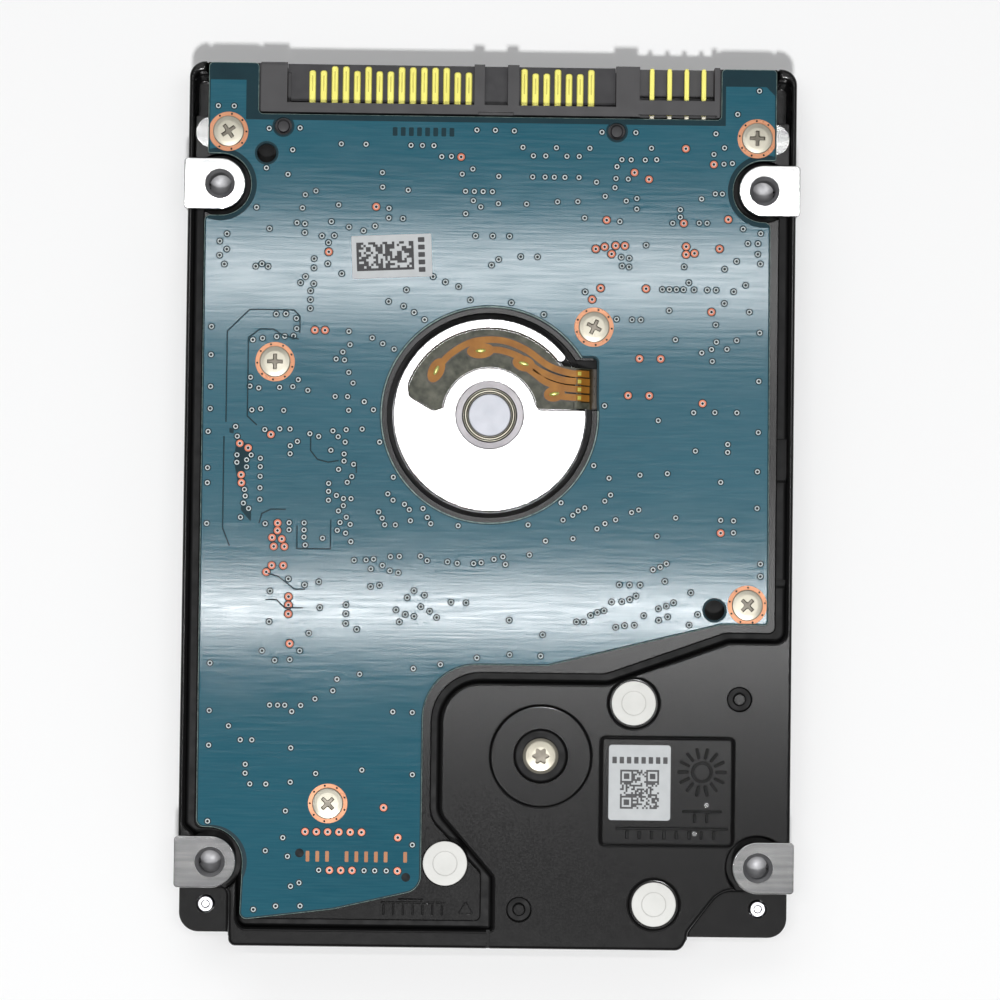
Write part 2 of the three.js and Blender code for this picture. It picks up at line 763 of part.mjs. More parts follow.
function motorFlex() {
  const band = [
    [8.2, FLEX_SEAT + 0.02],
    [9.7, FLEX_SEAT + 0.02],
    [11.5, 7.7],
    [14.2, 7.7],
    [14.2, 7.85],
    [11.6, 7.85],
    [9.8, FLEX_SEAT + 0.17],
    [8.2, FLEX_SEAT + 0.17],
  ];
  const [low, high] = FLEX_BAND;
  const shape = new THREE.Shape(band.map(([x, z]) => new THREE.Vector2(x, z)));
  const strip = new THREE.ExtrudeGeometry(shape, { depth: high - low, bevelEnabled: false });
  strip.rotateX(Math.PI / 2).translate(0, high, 0);
  const flat = plate(crescentPoints(0.3), FLEX_SEAT + 0.02, FLEX_SEAT + 0.17);
  return joined(cut(flat, box(9.2, 10, 7, 12, 18, HEIGHT)), solidFrom(strip));
}

function aroundSpindle(count, make) {
  const [x, y] = SPINDLE;
  return Array.from({ length: count }, (_, i) =>
    solidFrom(
      make()
        .rotateZ((2 * Math.PI * i) / count)
        .translate(x, y, 0),
    ),
  );
}

const radialBox = (from, to, width, low, high) =>
  new THREE.BoxGeometry(to - from, width, high - low).translate((from + to) / 2, 0, (low + high) / 2);

function statorCore(spare) {
  const ring = turned(
    [
      [4.3 - spare, 6.3 - spare],
      [5.4 + spare, 6.3 - spare],
      [5.4 + spare, 7.2 + spare],
      [4.3 - spare, 7.2 + spare],
    ],
    ...SPINDLE,
  );
  const teeth = aroundSpindle(STATOR_TEETH, () =>
    radialBox(5, 8.2 + spare, 1.1 + 2 * spare, 6.3 - spare, 7.2 + spare),
  );
  const shoes = aroundSpindle(STATOR_TEETH, () =>
    radialBox(7.9 - spare, 8.5 + spare, 3 + 2 * spare, 6.3 - spare, 7.2 + spare),
  );
  return joined(ring, ...teeth, ...shoes);
}

function statorWindings() {
  const coils = aroundSpindle(STATOR_TEETH, () => radialBox(5.7, 7.7, 2, 6.0, 7.6));
  const link = turned(
    [
      [5.7, 7.4],
      [6.4, 7.4],
      [6.4, 7.6],
      [5.7, 7.6],
    ],
    ...SPINDLE,
  );
  return cut(joined(link, ...coils), statorCore(0.1));
}

const bearingSleeve = () =>
  turned(
    [
      [1.65, 5.0],
      [2.95, 5.0],
      [2.95, 8.5],
      [1.65, 8.5],
    ],
    ...SPINDLE,
  );

// ---- Actuator surroundings: magnets, stops, ramp, filters ----
function yoke(low, high) {
  return plate(sector(YOKE.inner, YOKE.outer, YOKE.from, YOKE.to, PIVOT), low, high);
}

// The lower yoke carries two posts that hold the upper one.
function lowerYoke() {
  const posts = [YOKE.from, YOKE.to - 5].map((from) =>
    plate(sector(YOKE.outer - 0.8, YOKE.outer, from, from + 5, PIVOT), 2, 6.35),
  );
  return joined(yoke(1.2, 2.2), ...posts);
}

function loadRamp() {
  const body = plate(sector(33.9, 35.9, 152.6, 157.6, PIVOT), 1.8, 5.3);
  const slot = (low, high) => plate(sector(33, 35.2, 150, 162, PIVOT), low, high);
  return cut(body, slot(2.5, 3), slot(4.05, 4.55));
}

function inertialLatch() {
  const lever = outlinePoints([
    [1.1, -1, 0.3],
    [1.1, 1.2, 0.5],
    [-2.7, 2.3, 0.3],
    [-3.1, 1.4, 0.3],
    [-1, -0.6, 0.3],
  ]);
  const finger = plate(lever, 3.0, 4.2);
  return cut(joined(finger, disc(0, 0, 1.5, 1.8, 5)), disc(0, 0, 0.75, 0, 7));
}

// ---- Actuator: turns about the pivot, its arms along its own +X ----
function armBlock() {
  const arm = (low, high) =>
    plate(
      outlinePoints([
        [3, -4.4, 0],
        [21, -1.9, 0.5],
        [21, 1.9, 0.5],
        [3, 4.4, 0],
      ]),
      low,
      high,
      [
        outlinePoints([
          [16.5, -1.1, 0.3],
          [16.5, 1.1, 0.3],
          [9, 1.9, 0.3],
          [9, -1.9, 0.3],
        ]).reverse(),
      ],
    );
  const frameFrom = COIL_TURN - COIL.half - 3.5;
  const frameTo = COIL_TURN + COIL.half + 3.5;
  const frame = plate(sector(5.6, COIL.outer + 0.4, frameFrom, frameTo), 2.8, 4.2);
  const window = plate(sector(COIL.inner - 0.2, 20, frameFrom + 3, frameTo - 3), 2, 5);
  return cut(
    joined(disc(0, 0, 6.1, 1.9, 5.15), arm(1.9, 2.7), arm(4.35, 5.15), cut(frame, window)),
    disc(0, 0, SLEEVE_RADIUS + GAP, 0, HEIGHT),
  );
}

function voiceCoil() {
  const { low, high, inner, outer, half } = COIL;
  const outside = sector(inner, outer, COIL_TURN - half, COIL_TURN + half);
  const hole = sector(inner + 2.2, outer - 2.2, COIL_TURN - half + 9, COIL_TURN + half - 9);
  return cut(plate(outside, low, high), plate(hole, 0, HEIGHT));
}

// A spring plate with the read and write head at its end; facing is +1 when the head points up.
function suspension(low, facing) {
  const beam = plate(
    outlinePoints([
      [17, -1.6, 0],
      [20, -1.6, 0],
      [33, -0.5, 0],
      [34.8, -0.25, 0],
      [34.8, 0.25, 0],
      [33, 0.5, 0],
      [20, 1.6, 0],
      [17, 1.6, 0],
    ]),
    low,
    low + 0.12,
  );
  const head = facing > 0 ? [low + 0.1, low + 0.43] : [low - 0.33, low + 0.02];
  return joined(beam, box(32.4, -0.4, head[0], 33.4, 0.4, head[1]));
}

// ---- Assembly ----
piece("base_casting", baseCasting(), FINISH.coated);
piece("top_cover", topCover(), FINISH.cover);
piece("cover_gasket", coverGasket(), FINISH.rubber);
piece("cover_label", coverLabel(), FINISH.paper);
COVER_SCREWS.forEach(([x, y], i) => {
  piece(`cover_screw_${i + 1}`, coverScrew(x, y, y < -40 ? 5.6 : 4.6), FINISH.steel);
});
piece("pivot_cover_screw", coverScrew(...PIVOT, 3), FINISH.steel);

piece("circuit_board", circuitBoard(), FINISH.board);
piece("board_insulator", boardInsulator(), FINISH.foam);
BOARD_SCREWS.forEach((site, i) => piece(`board_screw_${i + 1}`, boardScrew(...site), FINISH.nickel));
piece("controller_chip", box(-4, 28, 7.2, 5, 37, LEDGE), FINISH.chip);
piece("memory_chip", box(9, 30, 7.3, 17, 36, LEDGE), FINISH.chip);
piece("motor_driver_chip", box(17, 6, 7.3, 24, 13, LEDGE), FINISH.chip);
piece("connector_housing", connectorHousing(), FINISH.blackPlastic);
piece("power_contacts", contactRow(POWER_START, 15, POWER_LONG), FINISH.gold);
piece("signal_contacts", contactRow(SIGNAL_START, 7, SIGNAL_LONG), FINISH.gold);
piece("jumper_pins", jumperPins(), FINISH.gold);

const boardLabel = new THREE.BoxGeometry(BOARD_LABEL.width, BOARD_LABEL.height, 0.08);
boardLabel.rotateZ(radians(BOARD_LABEL.turn)).translate(BOARD_LABEL.x, BOARD_LABEL.y, BOARD_TOP + 0.05);
piece("board_label", solidFrom(boardLabel), FINISH.paper);
piece("base_label", plate(rectangle(13.95, -35.4, 20.95, -26.9, 0.3), LABEL_FLOOR, 8.85), FINISH.paper);
SEALS.forEach(([x, y], i) => {
  piece(`seal_disc_${i + 1}`, disc(x, y, SEAL_RADIUS, SEAL_SEAT, SEAL_SEAT + 0.15), FINISH.paper);
});

const pivotScrewProfile = [
  [0, 5.2],
  [1.1, 5.2],
  [1.1, PIVOT_SEAT],
  [2, PIVOT_SEAT],
  [2, 8.45],
  [1.7, 8.65],
  [0, 8.65],
];
const torx = disc(...PIVOT, 0.8, 8.2, HEIGHT);
piece("pivot_screw", cut(turned(pivotScrewProfile, ...PIVOT), torx), FINISH.nickel);
const pivotShaft = cut(
  disc(...PIVOT, 1.9, GASKET_TOP, DEEP_FLOOR),
  disc(...PIVOT, 1.2, 5, HEIGHT),
  disc(...PIVOT, 1, 0, 3.2),
);
piece("pivot_shaft", pivotShaft, FINISH.steel);

piece("motor_bracket", motorBracket(), FINISH.bare);
piece("motor_flex", motorFlex(), FINISH.polyimide);
piece("stator_core", statorCore(0), FINISH.steel);
piece("stator_windings", statorWindings(), FINISH.copper);
piece("bearing_sleeve", bearingSleeve(), FINISH.steel);
piece("bearing_cap", disc(...SPINDLE, 2.35, 8.5, 8.75), FINISH.steel);

const magnetPoints = sector(8, 17, YOKE.from + 2, YOKE.to - 2, PIVOT);
piece("yoke_lower", lowerYoke(), FINISH.steel);
piece("yoke_upper", yoke(6.4, 7.4), FINISH.steel);
piece("drive_magnet", plate(magnetPoints, 4.9, 6.4), FINISH.magnet);
const stopAt = [PIVOT[0] + 15 * Math.cos(radians(344.5)), PIVOT[1] + 15 * Math.sin(radians(344.5))];
piece("crash_stop", disc(...stopAt, 0.8, 2.4, 5), FINISH.rubber);
piece("load_ramp", loadRamp(), FINISH.resin);
const filter = new THREE.BoxGeometry(4.6, 1.3, 3.6).rotateZ(radians(52)).translate(28.6, -9.3, 3.6);
piece("recirculation_filter", solidFrom(filter), FINISH.felt);
piece("desiccant", plate(rectangle(-26, -36, -18.5, -29, 0.8), 1.3, 4.4), FINISH.felt);
const [slotX0, slotY0, slotX1, slotY1] = HEAD_SLOT;
const connectorBody = joined(
  box(slotX0 + 0.3, slotY0 + 0.3, 5.4, slotX1 - 0.3, slotY1 - 0.3, 8.1),
  box(slotX0 - 0.8, slotY0 - 0.8, 5.2, slotX1 + 0.8, slotY1 + 0.8, 5.9),
);
piece("flex_connector", connectorBody, FINISH.blackPlastic);
const ribbonPath = new THREE.CatmullRomCurve3([
  new THREE.Vector3(-11, -38.6, 3.9),
  new THREE.Vector3(-7, -38.2, 3.9),
  new THREE.Vector3(-3.2, -36.8, 3.9),
  new THREE.Vector3(-0.6, -34.2, 3.9),
]);
const ribbonSection = new THREE.Shape([
  new THREE.Vector2(-1.2, -0.06),
  new THREE.Vector2(1.2, -0.06),
  new THREE.Vector2(1.2, 0.06),
  new THREE.Vector2(-1.2, 0.06),
]);
const ribbon = new THREE.ExtrudeGeometry(ribbonSection, { steps: 12, extrudePath: ribbonPath });
piece("flex_ribbon", solidFrom(ribbon), FINISH.polyimide);

const hubProfile = [
  [0, 4.6],
  [0.95, 4.6],
  [0.95, 2.15],
  [HUB_RADIUS, 2.15],
  [HUB_RADIUS, PLATTER_HIGH],
  [HUB_FLANGE_RADIUS, PLATTER_HIGH],
  [HUB_FLANGE_RADIUS, 4.5],
  [9.95, 4.5],
  [9.95, 7.4],
  [9.5, 7.4],
  [9.5, 5.1],
  [8.6, 5.1],
  [8.6, 3.4],
  [2.6, 3.4],
  [2.6, 4.4],
  [1.5, 4.8],
  [1.5, 8.3],
  [0, 8.3],
];
piece("hub", turned(hubProfile), FINISH.steel, spindle);
const magnetRing = [
  [8.8, 5.15],
  [9.4, 5.15],
  [9.4, 7.3],
  [8.8, 7.3],
];
piece("rotor_magnet", turned(magnetRing), FINISH.magnet, spindle);
const platter = plate(circlePoints(0, 0, PLATTER_RADIUS), PLATTER_LOW, PLATTER_HIGH, [
  circlePoints(0, 0, PLATTER_BORE),
]);
piece("platter", platter, FINISH.mirror, spindle);
const clampProfile = [
  [1.1, 1.5],
  [10.5, 1.5],
  [12.8, 2.6],
  [12.8, PLATTER_LOW],
  [11.6, PLATTER_LOW],
  [11.6, 2.9],
  [10.2, 2.1],
  [1.1, 2.1],
];
piece("disc_clamp", turned(clampProfile), FINISH.steel, spindle);
const clampScrewProfile = [
  [0, 1],
  [2.2, 1],
  [2.2, 1.5],
  [0.8, 1.5],
  [0.8, 4.4],
  [0, 4.4],
];
piece("clamp_screw", cut(turned(clampScrewProfile), disc(0, 0, 0.8, 0, 1.3)), FINISH.nickel, spindle);

piece("arm_block", armBlock(), FINISH.bare, actuator);
const sleeve = cut(disc(0, 0, SLEEVE_RADIUS, 1.6, 7), disc(0, 0, 2.1, 0, HEIGHT));
piece("pivot_sleeve", sleeve, FINISH.steel, actuator);
piece("voice_coil", voiceCoil(), FINISH.copper, actuator);
piece("suspension_1", suspension(2.7, 1), FINISH.steel, actuator);
piece("suspension_2", suspension(4.23, -1), FINISH.steel, actuator);
piece("preamp_chip", box(7, -3, 5.15, 8.6, -1, 5.55), FINISH.chip, actuator);
piece("inertial_latch", inertialLatch(), FINISH.resin, latch);

export default drive;
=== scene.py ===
"""A 2.5-inch hard disk drive, circuit board side up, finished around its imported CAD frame.

Lengths are written in millimetres in the frame's own axes: Z = 0 is the outer face of the cover, +Z points
out of the circuit board side and +Y to the connector end. Meshes are scaled to Blender's metres as they are
made.
"""
import json
import math
import random

import bmesh
import bpy
from mathutils import Matrix, Vector

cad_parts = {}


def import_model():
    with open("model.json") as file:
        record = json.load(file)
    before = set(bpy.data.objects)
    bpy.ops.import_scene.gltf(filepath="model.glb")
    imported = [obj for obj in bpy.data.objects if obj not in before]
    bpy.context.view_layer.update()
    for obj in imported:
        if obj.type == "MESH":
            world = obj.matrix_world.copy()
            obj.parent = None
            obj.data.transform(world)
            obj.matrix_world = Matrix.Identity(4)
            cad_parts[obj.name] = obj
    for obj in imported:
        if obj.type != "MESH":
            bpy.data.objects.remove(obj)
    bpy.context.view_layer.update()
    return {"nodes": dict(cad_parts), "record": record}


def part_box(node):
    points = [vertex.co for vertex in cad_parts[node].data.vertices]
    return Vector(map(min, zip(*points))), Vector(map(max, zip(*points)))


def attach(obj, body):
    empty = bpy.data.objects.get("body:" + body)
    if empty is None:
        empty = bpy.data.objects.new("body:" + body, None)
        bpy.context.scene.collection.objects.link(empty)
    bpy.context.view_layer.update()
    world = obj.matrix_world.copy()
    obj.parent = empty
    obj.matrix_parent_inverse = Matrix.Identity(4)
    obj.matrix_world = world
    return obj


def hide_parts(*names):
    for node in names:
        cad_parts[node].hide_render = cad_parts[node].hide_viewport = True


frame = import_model()

MM = 0.001
ARC_STEP = math.radians(7.5)
FILLET_STEPS = 4
SIDES = (-1, 1)

# ---- Heights ----
COVER_TOP = 0.6
GASKET_TOP = 1.0
FLANGE = 5.2
FLOOR = 6.0
POCKET = 6.8
GROOVE = 7.2
DEEP_FLOOR = 7.6
TONGUE_TOP = 7.6
LEDGE = 8.2
FLEX_LOW, FLEX_HIGH = 8.42, 8.55
LABEL_FLOOR = 8.65
SEAL_SEAT = 8.7
BOARD_TOP = 9.0
MASK_TOP = 9.02
RIM = 9.0
HEIGHT = 9.5
UNDER, OVER = -1, 10  # clear of the drive on either side, where cutters start and end
UNDER_BOARD = 7
UNDER_MASK = 8

# ---- Sizes and places seen from above ----
WIDTH = 69.85
PAD_X = 30.86
PAD_Y = (36, -40.6)
PAD_RADIUS = 2.9
MOUNT_HOLE = 1.3
SPINDLE = (0, 10.2)
PIVOT = (6.25, -28.3)
WELL_RADIUS = 33.2
MOTOR_OPENING = 12.2
MASK_INSET = 0.2
CONTACT_PITCH = 1.27
CONTACT_WIDTH = 0.78
BOARD_SCREWS = [f"board_screw_{i + 1}" for i in range(6)]
BOARD_SCREW_TURNS = (35, 0, 0, -25, 45, 45)
BOARD_SCREW_RADIUS = 1.75
COVER_SCREWS = [f"cover_screw_{i + 1}" for i in range(6)]
# x, y and radius; two pegs of the connector stand in the last two.
PEG_HOLES = ((-25.65, 39.6, 1.1), (25.7, -11.6, 1.15), (-23.8, 42.7, 1.0), (14.05, 42.6, 1.0))
LOCATION_MARKS = ((28.65, -21.65), (4, -45.6))
DISC = (32, 42)  # the bare spots that the casting was clamped by, left and right
DISC_TOP = LEDGE + 0.06

# ---- Outlines: corners (x, y, radius), going round anticlockwise ----
BODY_OUTLINE = [
    (34.5, 50, 1.8), (-34.5, 50, 1.8), (-34.5, -48.7, 2.2), (-28.7, -48.7, 0.3),
    (-28.7, -50, 0.8), (22.3, -50, 1.2), (23, -48.7, 0.3), (34.5, -48.7, 2.2),
]
BOARD_OUTLINE = [
    (32.2, 49.9, 0.5), (25.9, 49.9, 0.5), (25.9, 44.1, 0.5), (-26.6, 44.1, 0.5),
    (-26.6, 49.9, 0.5), (-32.3, 49.9, 0.5), (-32.3, 39.5, 0.3), (-27.35, 39.5, 3.45),
    (-27.35, 32.5, 3.45), (-32.6, 32.5, 0.7), (-32.5, -36.7, 0.9), (-27.1, -36.7, 3.9),
    (-27.5, -47.1, 0.8), (-17, -45.8, 0), (-7.1, -43.5, 2), (-7.1, -18.1, 6),
    (6.9, -18.1, 1), (26.5, -13.25, 1.5), (31.8, -13.25, 0.5), (31.6, 32.5, 0.7),
    (27.35, 32.5, 3.45), (27.35, 39.5, 3.45), (32.2, 39.5, 0.3),
]
LEDGE_OUTLINE = [
    (32.3, 51, 0), (-32.4, 51, 0), (-32.4, 43.9, 0), (-33.8, 43.9, 0.3), (-33.8, 39, 0),
    (-32.75, 39, 0), (-32.75, -36.9, 0.8), (-27.4, -36.9, 3.6), (-27.6, -47, 0.8),
    (-0.3, -47, 0.7), (-0.3, -41.6, 0.8), (-6.1, -35.5, 3), (-6.1, -19, 5.5),
    (13.5, -19, 3), (27, -14.2, 2), (32.7, -14.2, 0.8), (32.7, 39, 0), (33.8, 39, 0),
    (33.8, 43.9, 0.3), (32.3, 43.9, 0),
]
GROOVE_OUTLINE = [
    (32.4, 51, 0), (-32.5, 51, 0), (-32.5, 48.7, 0), (-33.8, 48.7, 0.8),
    (-33.8, -36.5, 0.8), (-32.6, -37.5, 0), (-27.8, -37.6, 2.9), (-27.7, -47.9, 1),
    (0.9, -47.9, 0.3), (0.9, -42, 0.8), (-5.2, -35, 2.5), (-5.2, -20, 4.6),
    (13.8, -20, 2.5), (27.4, -15.1, 1.5), (33.8, -15.1, 1.2), (33.8, 48.7, 0.8),
    (32.4, 48.7, 0),
]
POCKET_OUTLINE = [
    (25.4, 44.2, 0), (-25.4, 44.2, 0), (-25.4, 30.5, 1), (-31.3, 30.5, 1),
    (-31.3, -35.2, 1), (-25.8, -35.2, 2.5), (-26.1, -45.6, 1), (-17.2, -44.4, 0),
    (-8.4, -42.4, 1.2), (-8.4, -16.8, 4.5), (7, -16.8, 1), (26.3, -12, 1.2),
    (30.4, -12, 0.6), (30.3, 30.5, 1), (25.4, 30.5, 1),
]
CHAMBER_OUTLINE = [
    (31.8, 2, 1), (-31.8, 2, 1), (-31.8, -12.6, 1), (-27.1, -12.6, 1), (-27.1, -21.4, 1),
    (-31.8, -21.4, 1), (-31.8, -33.5, 2), (-26.2, -37.5, 1.5), (-26.2, -45.3, 2),
    (-4, -46.9, 2), (21.6, -46.9, 2), (26, -41.4, 1.5), (26, -36.6, 1.5), (31.8, -33, 2),
    (31.8, -21.4, 1), (27.1, -21.4, 1), (27.1, -12.6, 1), (31.8, -12.6, 1),
]
DEEP_OUTLINE = [
    (26, -20.5, 2), (-0.5, -22.6, 2), (-3.4, -26, 2), (-3.4, -34.5, 2), (2.4, -41, 1.5),
    (2.4, -46.9, 1), (21.6, -46.9, 2), (26, -41.4, 1.5), (26, -36.6, 1.5), (31, -33, 2),
    (31, -22.5, 2),
]
LEFT_FLANGE = [(-28.9, -43.5, 0.9), (-36, -43.5, 0), (-36, -51, 0), (-28.9, -51, 0)]
RIGHT_FLANGE = [(36, -51, 0), (36, -43.3, 0), (26.8, -43.3, 3), (23.2, -48, 1), (23, -51, 0)]


# ---- Outlines into points ----
def unit(x, y):
    length = math.hypot(x, y)
    return x / length, y / length


def rounded(corners):
    """A closed outline's points, with each corner (x, y, radius) made an arc."""
    points = []
    for i, (x, y, radius) in enumerate(corners):
        if radius <= 0:
            points.append((x, y))
            continue
        before, after = corners[i - 1], corners[(i + 1) % len(corners)]
        back = unit(before[0] - x, before[1] - y)
        on = unit(after[0] - x, after[1] - y)
        half = math.acos(max(-1, min(1, back[0] * on[0] + back[1] * on[1]))) / 2
        middle = unit(back[0] + on[0], back[1] + on[1])
        away, reach = radius / math.sin(half), radius / math.tan(half)
        cx, cy = x + middle[0] * away, y + middle[1] * away
        start = math.atan2(y + back[1] * reach - cy, x + back[0] * reach - cx)
        end = math.atan2(y + on[1] * reach - cy, x + on[0] * reach - cx)
        turn = math.remainder(end - start, 2 * math.pi)
        steps = max(FILLET_STEPS, math.ceil(abs(turn) / ARC_STEP - 0.01))
        for k in range(steps + 1):
            angle = start + turn * k / steps
            points.append((cx + radius * math.cos(angle), cy + radius * math.sin(angle)))
    return points


def grown(corners, distance):
    """The same corners with every edge moved outwards by a distance, or inwards by a negative one."""
    count = len(corners)
    edges = []
    for i, (x, y, _) in enumerate(corners):
        after = corners[(i + 1) % count]
        ax, ay = unit(after[0] - x, after[1] - y)
        edges.append((x + ay * distance, y - ax * distance, ax, ay))
    moved = []
    for i, (_, _, radius) in enumerate(corners):
        a, b = edges[i - 1], edges[i]
        bend = a[2] * b[3] - a[3] * b[2]
        along = ((b[0] - a[0]) * b[3] - (b[1] - a[1]) * b[2]) / bend
        turned_radius = max(radius + distance * math.copysign(1, bend), 0.02) if radius else 0
        moved.append((a[0] + a[2] * along, a[1] + a[3] * along, turned_radius))
    return moved


def rectangle(x0, y0, x1, y1, radius=0.0):
    return [(x1, y1, radius), (x0, y1, radius), (x0, y0, radius), (x1, y0, radius)]


def quarter(start, steps=FILLET_STEPS):
    """Angles of a quarter turn from start degrees, for a fillet."""
    return [math.radians(start + 90 * k / steps) for k in range(steps + 1)]


# ---- Meshes ----
def mesh_object(name, vertices, faces):
    mesh = bpy.data.meshes.new(name)
    mesh.from_pydata([Vector(v) * MM for v in vertices], [], faces)
    obj = bpy.data.objects.new(name, mesh)
    bpy.context.scene.collection.objects.link(obj)
    return obj


def outward(obj):
    made = bmesh.new()
    made.from_mesh(obj.data)
    bmesh.ops.recalc_face_normals(made, faces=made.faces)
    made.to_mesh(obj.data)
    made.free()
    return obj


def loft(name, corners, profile):
    """A closed solid whose outline grows by each (growth, height) of the profile, from the bottom up."""
    rings = [rounded(grown(corners, growth)) for growth, _ in profile]
    count = len(rings[0])
    vertices = [(x, y, profile[k][1]) for k, ring in enumerate(rings) for x, y in ring]
    top = count * (len(rings) - 1)
    faces = [tuple(reversed(range(count))), tuple(range(top, top + count))]
    for level in range(len(rings) - 1):
        a, b = level * count, (level + 1) * count
        for i in range(count):
            j = (i + 1) % count
            faces.append((a + i, a + j, b + j, b + i))
    return mesh_object(name, vertices, faces)


def plate(name, corners, low, high, edge=0.0, foot=0.0):
    """A solid between two heights, its top edge and its foot rounded by a radius."""
    profile = [(-foot + foot * math.cos(a), low + foot + foot * math.sin(a)) for a in quarter(-90)]
    if not foot:
        profile = [(0, low)]
    if edge:
        profile += [(-edge + edge * math.cos(a), high - edge + edge * math.sin(a)) for a in quarter(0)]
    else:
        profile.append((0, high))
    return loft(name, corners, profile)


def recess(corners, floor, top, edge=0.2, corner=0.2, draft=0.08):
    """A cutter for a recess with a rounded floor corner, drafted walls and a rounded upper edge."""
    profile = [(-corner + corner * math.sin(a), floor + corner - corner * math.cos(a)) for a in quarter(0)]
    profile += [(draft + edge - edge * math.cos(a), top - edge + edge * math.sin(a)) for a in quarter(0)]
    profile.append((draft + edge, top + 2))
    return loft("cutter", corners, profile)


def turned(name, corners, place=(0, 0), steps=72):
    """A turned solid from a closed profile of (radius, height, fillet), from its lowest inner point."""
    profile = rounded(corners)
    starts, vertices = [], []
    for radius, height in profile:
        starts.append(len(vertices))
        if radius < 1e-6:
            vertices.append((place[0], place[1], height))
            continue
        for k in range(steps):
            angle = 2 * math.pi * k / steps
            x, y = place[0] + radius * math.cos(angle), place[1] + radius * math.sin(angle)
            vertices.append((x, y, height))
    faces = []
    for i, (radius, _) in enumerate(profile):
        j = (i + 1) % len(profile)
        on_axis, next_on_axis = radius < 1e-6, profile[j][0] < 1e-6
        if on_axis and next_on_axis:
            continue
        for k in range(steps):
            m = (k + 1) % steps
            a, b = starts[i], starts[j]
            if on_axis:
                faces.append((a, b + m, b + k))
            elif next_on_axis:
                faces.append((a + k, a + m, b))
            else:
                faces.append((a + k, a + m, b + m, b + k))
    return mesh_object(name, vertices, faces)


def block(name, x0, y0, z0, x1, y1, z1):
    return loft(name, rectangle(x0, y0, x1, y1), [(0, z0), (0, z1)])


def cylinder(x, y, radius, low, high, steps=72):
    return turned("cutter", [(0, low, 0), (radius, low, 0), (radius, high, 0), (0, high, 0)], (x, y), steps)


def round_recess(x, y, radius, floor, top, edge=0.2, corner=0.2, steps=72):
    """A cutter for a round recess with a rounded floor corner and upper edge."""
    profile = [(0, floor, 0), (radius, floor, corner)]
    profile += [(radius + edge - edge * math.cos(a), top - edge + edge * math.sin(a), 0) for a in quarter(0)]
    profile += [(radius + edge, top + 2, 0), (0, top + 2, 0)]
    return turned("cutter", profile, (x, y), steps)


def baked(obj):
    """Applies the object's modifiers."""
    graph = bpy.context.evaluated_depsgraph_get()
    mesh = bpy.data.meshes.new_from_object(obj.evaluated_get(graph))
    mesh.materials.clear()
    obj.modifiers.clear()
    obj.data = mesh
    return obj


def combined(target, tools, operation):
    for tool in tools:
        modifier = target.modifiers.new("boolean", "BOOLEAN")
        modifier.operation = operation
        modifier.solver = "MANIFOLD"
        modifier.object = tool
    baked(target)
    for tool in tools:
        bpy.data.objects.remove(tool)
    return target


def cut(target, *tools):
    return combined(target, tools, "DIFFERENCE")


def joined(target, *tools):
    return combined(target, tools, "UNION")


def merged(name, objects):
    """Several separate meshes as one object."""
    made = bmesh.new()
    for obj in objects:
        made.from_mesh(obj.data)
        bpy.data.objects.remove(obj)
    mesh = bpy.data.meshes.new(name)
    made.to_mesh(mesh)
    made.free()
    obj = bpy.data.objects.new(name, mesh)
    bpy.context.scene.collection.objects.link(obj)
    return obj


SQUARE_ON = 0.9998  # the least part of a unit normal that counts as along an axis
LARGE_FACE = 1.5 * MM * MM


def shown(obj, finish, replaced=(), body="root", sharp=38):
    """Gives a finished piece its shading, finish, CAD body and material slot."""
    obj.data.shade_smooth()
    obj.data.set_sharp_from_angle(angle=math.radians(sharp))
    for face in obj.data.polygons:
        square_on = max(abs(part) for part in face.normal) > SQUARE_ON
        face.use_smooth = not (square_on and (abs(face.normal.z) > SQUARE_ON or face.area > LARGE_FACE))
    if not obj.data.materials:
        obj.data.materials.append(finish)
    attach(obj, body)
    if replaced:
        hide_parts(*replaced)
    return obj


def placed(obj, place, turn=0.0):
    """Turns a mesh built round the origin about Z and moves it over a point of the board."""
    obj.data.transform(Matrix.Rotation(math.radians(turn), 4, "Z"))
    obj.data.transform(Matrix.Translation(Vector((*place, 0)) * MM))
    return obj


def two_tone(obj, first, second, chosen):
    """Gives the faces that a test picks the second finish, and the others the first."""
    obj.data.materials.append(first)
    obj.data.materials.append(second)
    for face in obj.data.polygons:
        face.material_index = int(chosen(face))
    return obj


def middle(node):
    """The middle of a CAD node seen from above, in millimetres."""
    low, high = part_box(node)
    return (low.x + high.x) / 2 / MM, (low.y + high.y) / 2 / MM


